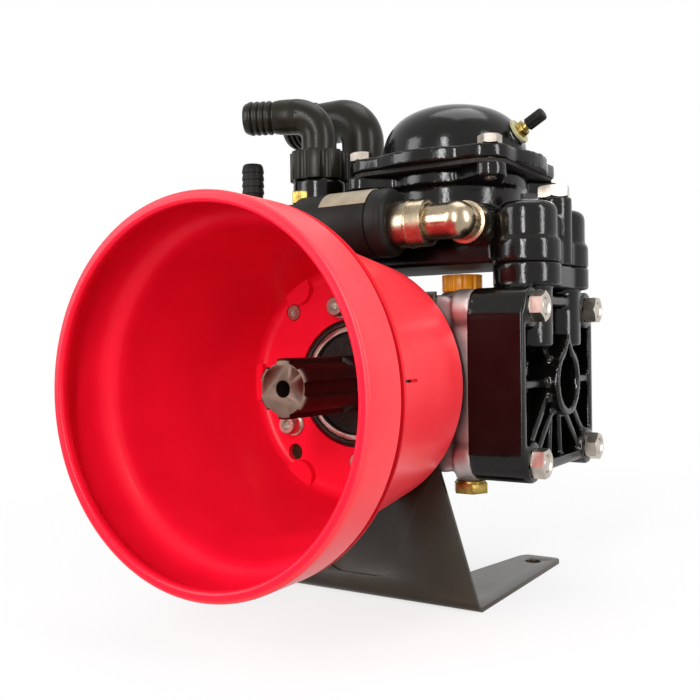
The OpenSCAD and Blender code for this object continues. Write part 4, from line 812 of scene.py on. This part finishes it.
def studio_world():
    """White behind the object, and half of that as the light of the room."""
    world = bpy.data.worlds.new("studio_world")
    bpy.context.scene.world = world
    world.use_nodes = True
    tree = world.node_tree
    tree.nodes.clear()
    white = add(tree, "ShaderNodeBackground", Color=srgb("#ffffff"), Strength=1.0)
    room = add(tree, "ShaderNodeBackground", Color=srgb("#ffffff"), Strength=0.5)
    both = add(tree, "ShaderNodeMixShader", i0=seen_rays(tree), i1=room, i2=white)
    add(tree, "ShaderNodeOutputWorld", Surface=both)


def floor():
    """A pale sheet that takes the object's shadow near it and fades to white further out."""
    width, fade_start, fade_end, white_share = 8.0, 0.12, 0.55, 0.7
    bpy.ops.object.select_all(action="DESELECT")
    bpy.ops.mesh.primitive_plane_add(size=width, location=(0, 0, 0))
    sheet = bpy.context.object
    sheet.name = "floor"
    finish, tree, place = begin("pale_floor")
    grey = add(tree, "ShaderNodeBsdfDiffuse", Color=srgb("#e8e8e8"))
    glow = add(tree, "ShaderNodeMapRange", Value=seen_rays(tree), To_Min=0.3, To_Max=1.0)
    far = add(tree, "ShaderNodeEmission", Color=srgb("#ffffff"), Strength=glow)
    near = add(tree, "ShaderNodeMixShader", i0=white_share, i1=grey, i2=far)
    away = add(tree, "ShaderNodeVectorMath", {"operation": "LENGTH"}, i0=place).outputs["Value"]
    fade = add(tree, "ShaderNodeMapRange", Value=away, From_Min=fade_start, From_Max=fade_end)
    mixed = add(tree, "ShaderNodeMixShader", i0=fade, i1=near, i2=far)
    add(tree, "ShaderNodeOutputMaterial", Surface=mixed)
    sheet.data.materials.append(finish)


# What the lamps point at
MIDDLE = Vector((0.0, -0.1, 0.16))


def softbox(name, place, width, height, power):
    """A soft rectangular lamp that points at the middle of the object."""
    lamp = bpy.data.lights.new(name, "AREA")
    lamp.shape = "RECTANGLE"
    lamp.size = width
    lamp.size_y = height
    lamp.energy = power
    box = bpy.data.objects.new(name, lamp)
    bpy.context.collection.objects.link(box)
    box.location = place
    box.rotation_euler = (MIDDLE - Vector(place)).to_track_quat("-Z", "Y").to_euler()


def photo_camera():
    """The camera that was fitted to the guard's mouth, the head nuts and the stand."""
    azimuth, elevation, roll = math.radians(32.19), math.radians(0.46), math.radians(-0.76)
    focal_px, image_px, sensor = 900.9, 700, 36.0
    eye = crank(302.5, -545.5, 25.6)
    back = Vector((math.sin(azimuth) * math.cos(elevation), -math.cos(azimuth) * math.cos(elevation),
                   math.sin(elevation)))
    right = Vector((math.cos(azimuth), math.sin(azimuth), 0.0))
    up = back.cross(right)
    across = right * math.cos(roll) + up * math.sin(roll)
    upward = up * math.cos(roll) - right * math.sin(roll)
    lens = bpy.data.cameras.new("photo_camera")
    lens.sensor_width = sensor
    lens.lens = focal_px / image_px * sensor
    lens.clip_start = 0.01
    camera = bpy.data.objects.new("photo_camera", lens)
    bpy.context.collection.objects.link(camera)
    turn = Matrix((across, upward, back)).transposed().to_4x4()
    camera.matrix_world = Matrix.Translation(eye) @ turn
    bpy.context.scene.camera = camera


bpy.context.scene.view_settings.view_transform = "Standard"
studio_world()
floor()
photo_camera()
softbox("left_window", (-0.9, -1.1, 0.55), width=0.5, height=0.9, power=11)
softbox("right_strip", (1.1, -0.25, 0.5), width=0.2, height=0.9, power=10)
softbox("front_strip", (0.27, -1.35, 0.42), width=0.13, height=1.0, power=15)
softbox("top_box", (0.1, 0.1, 1.4), width=0.8, height=0.8, power=6)
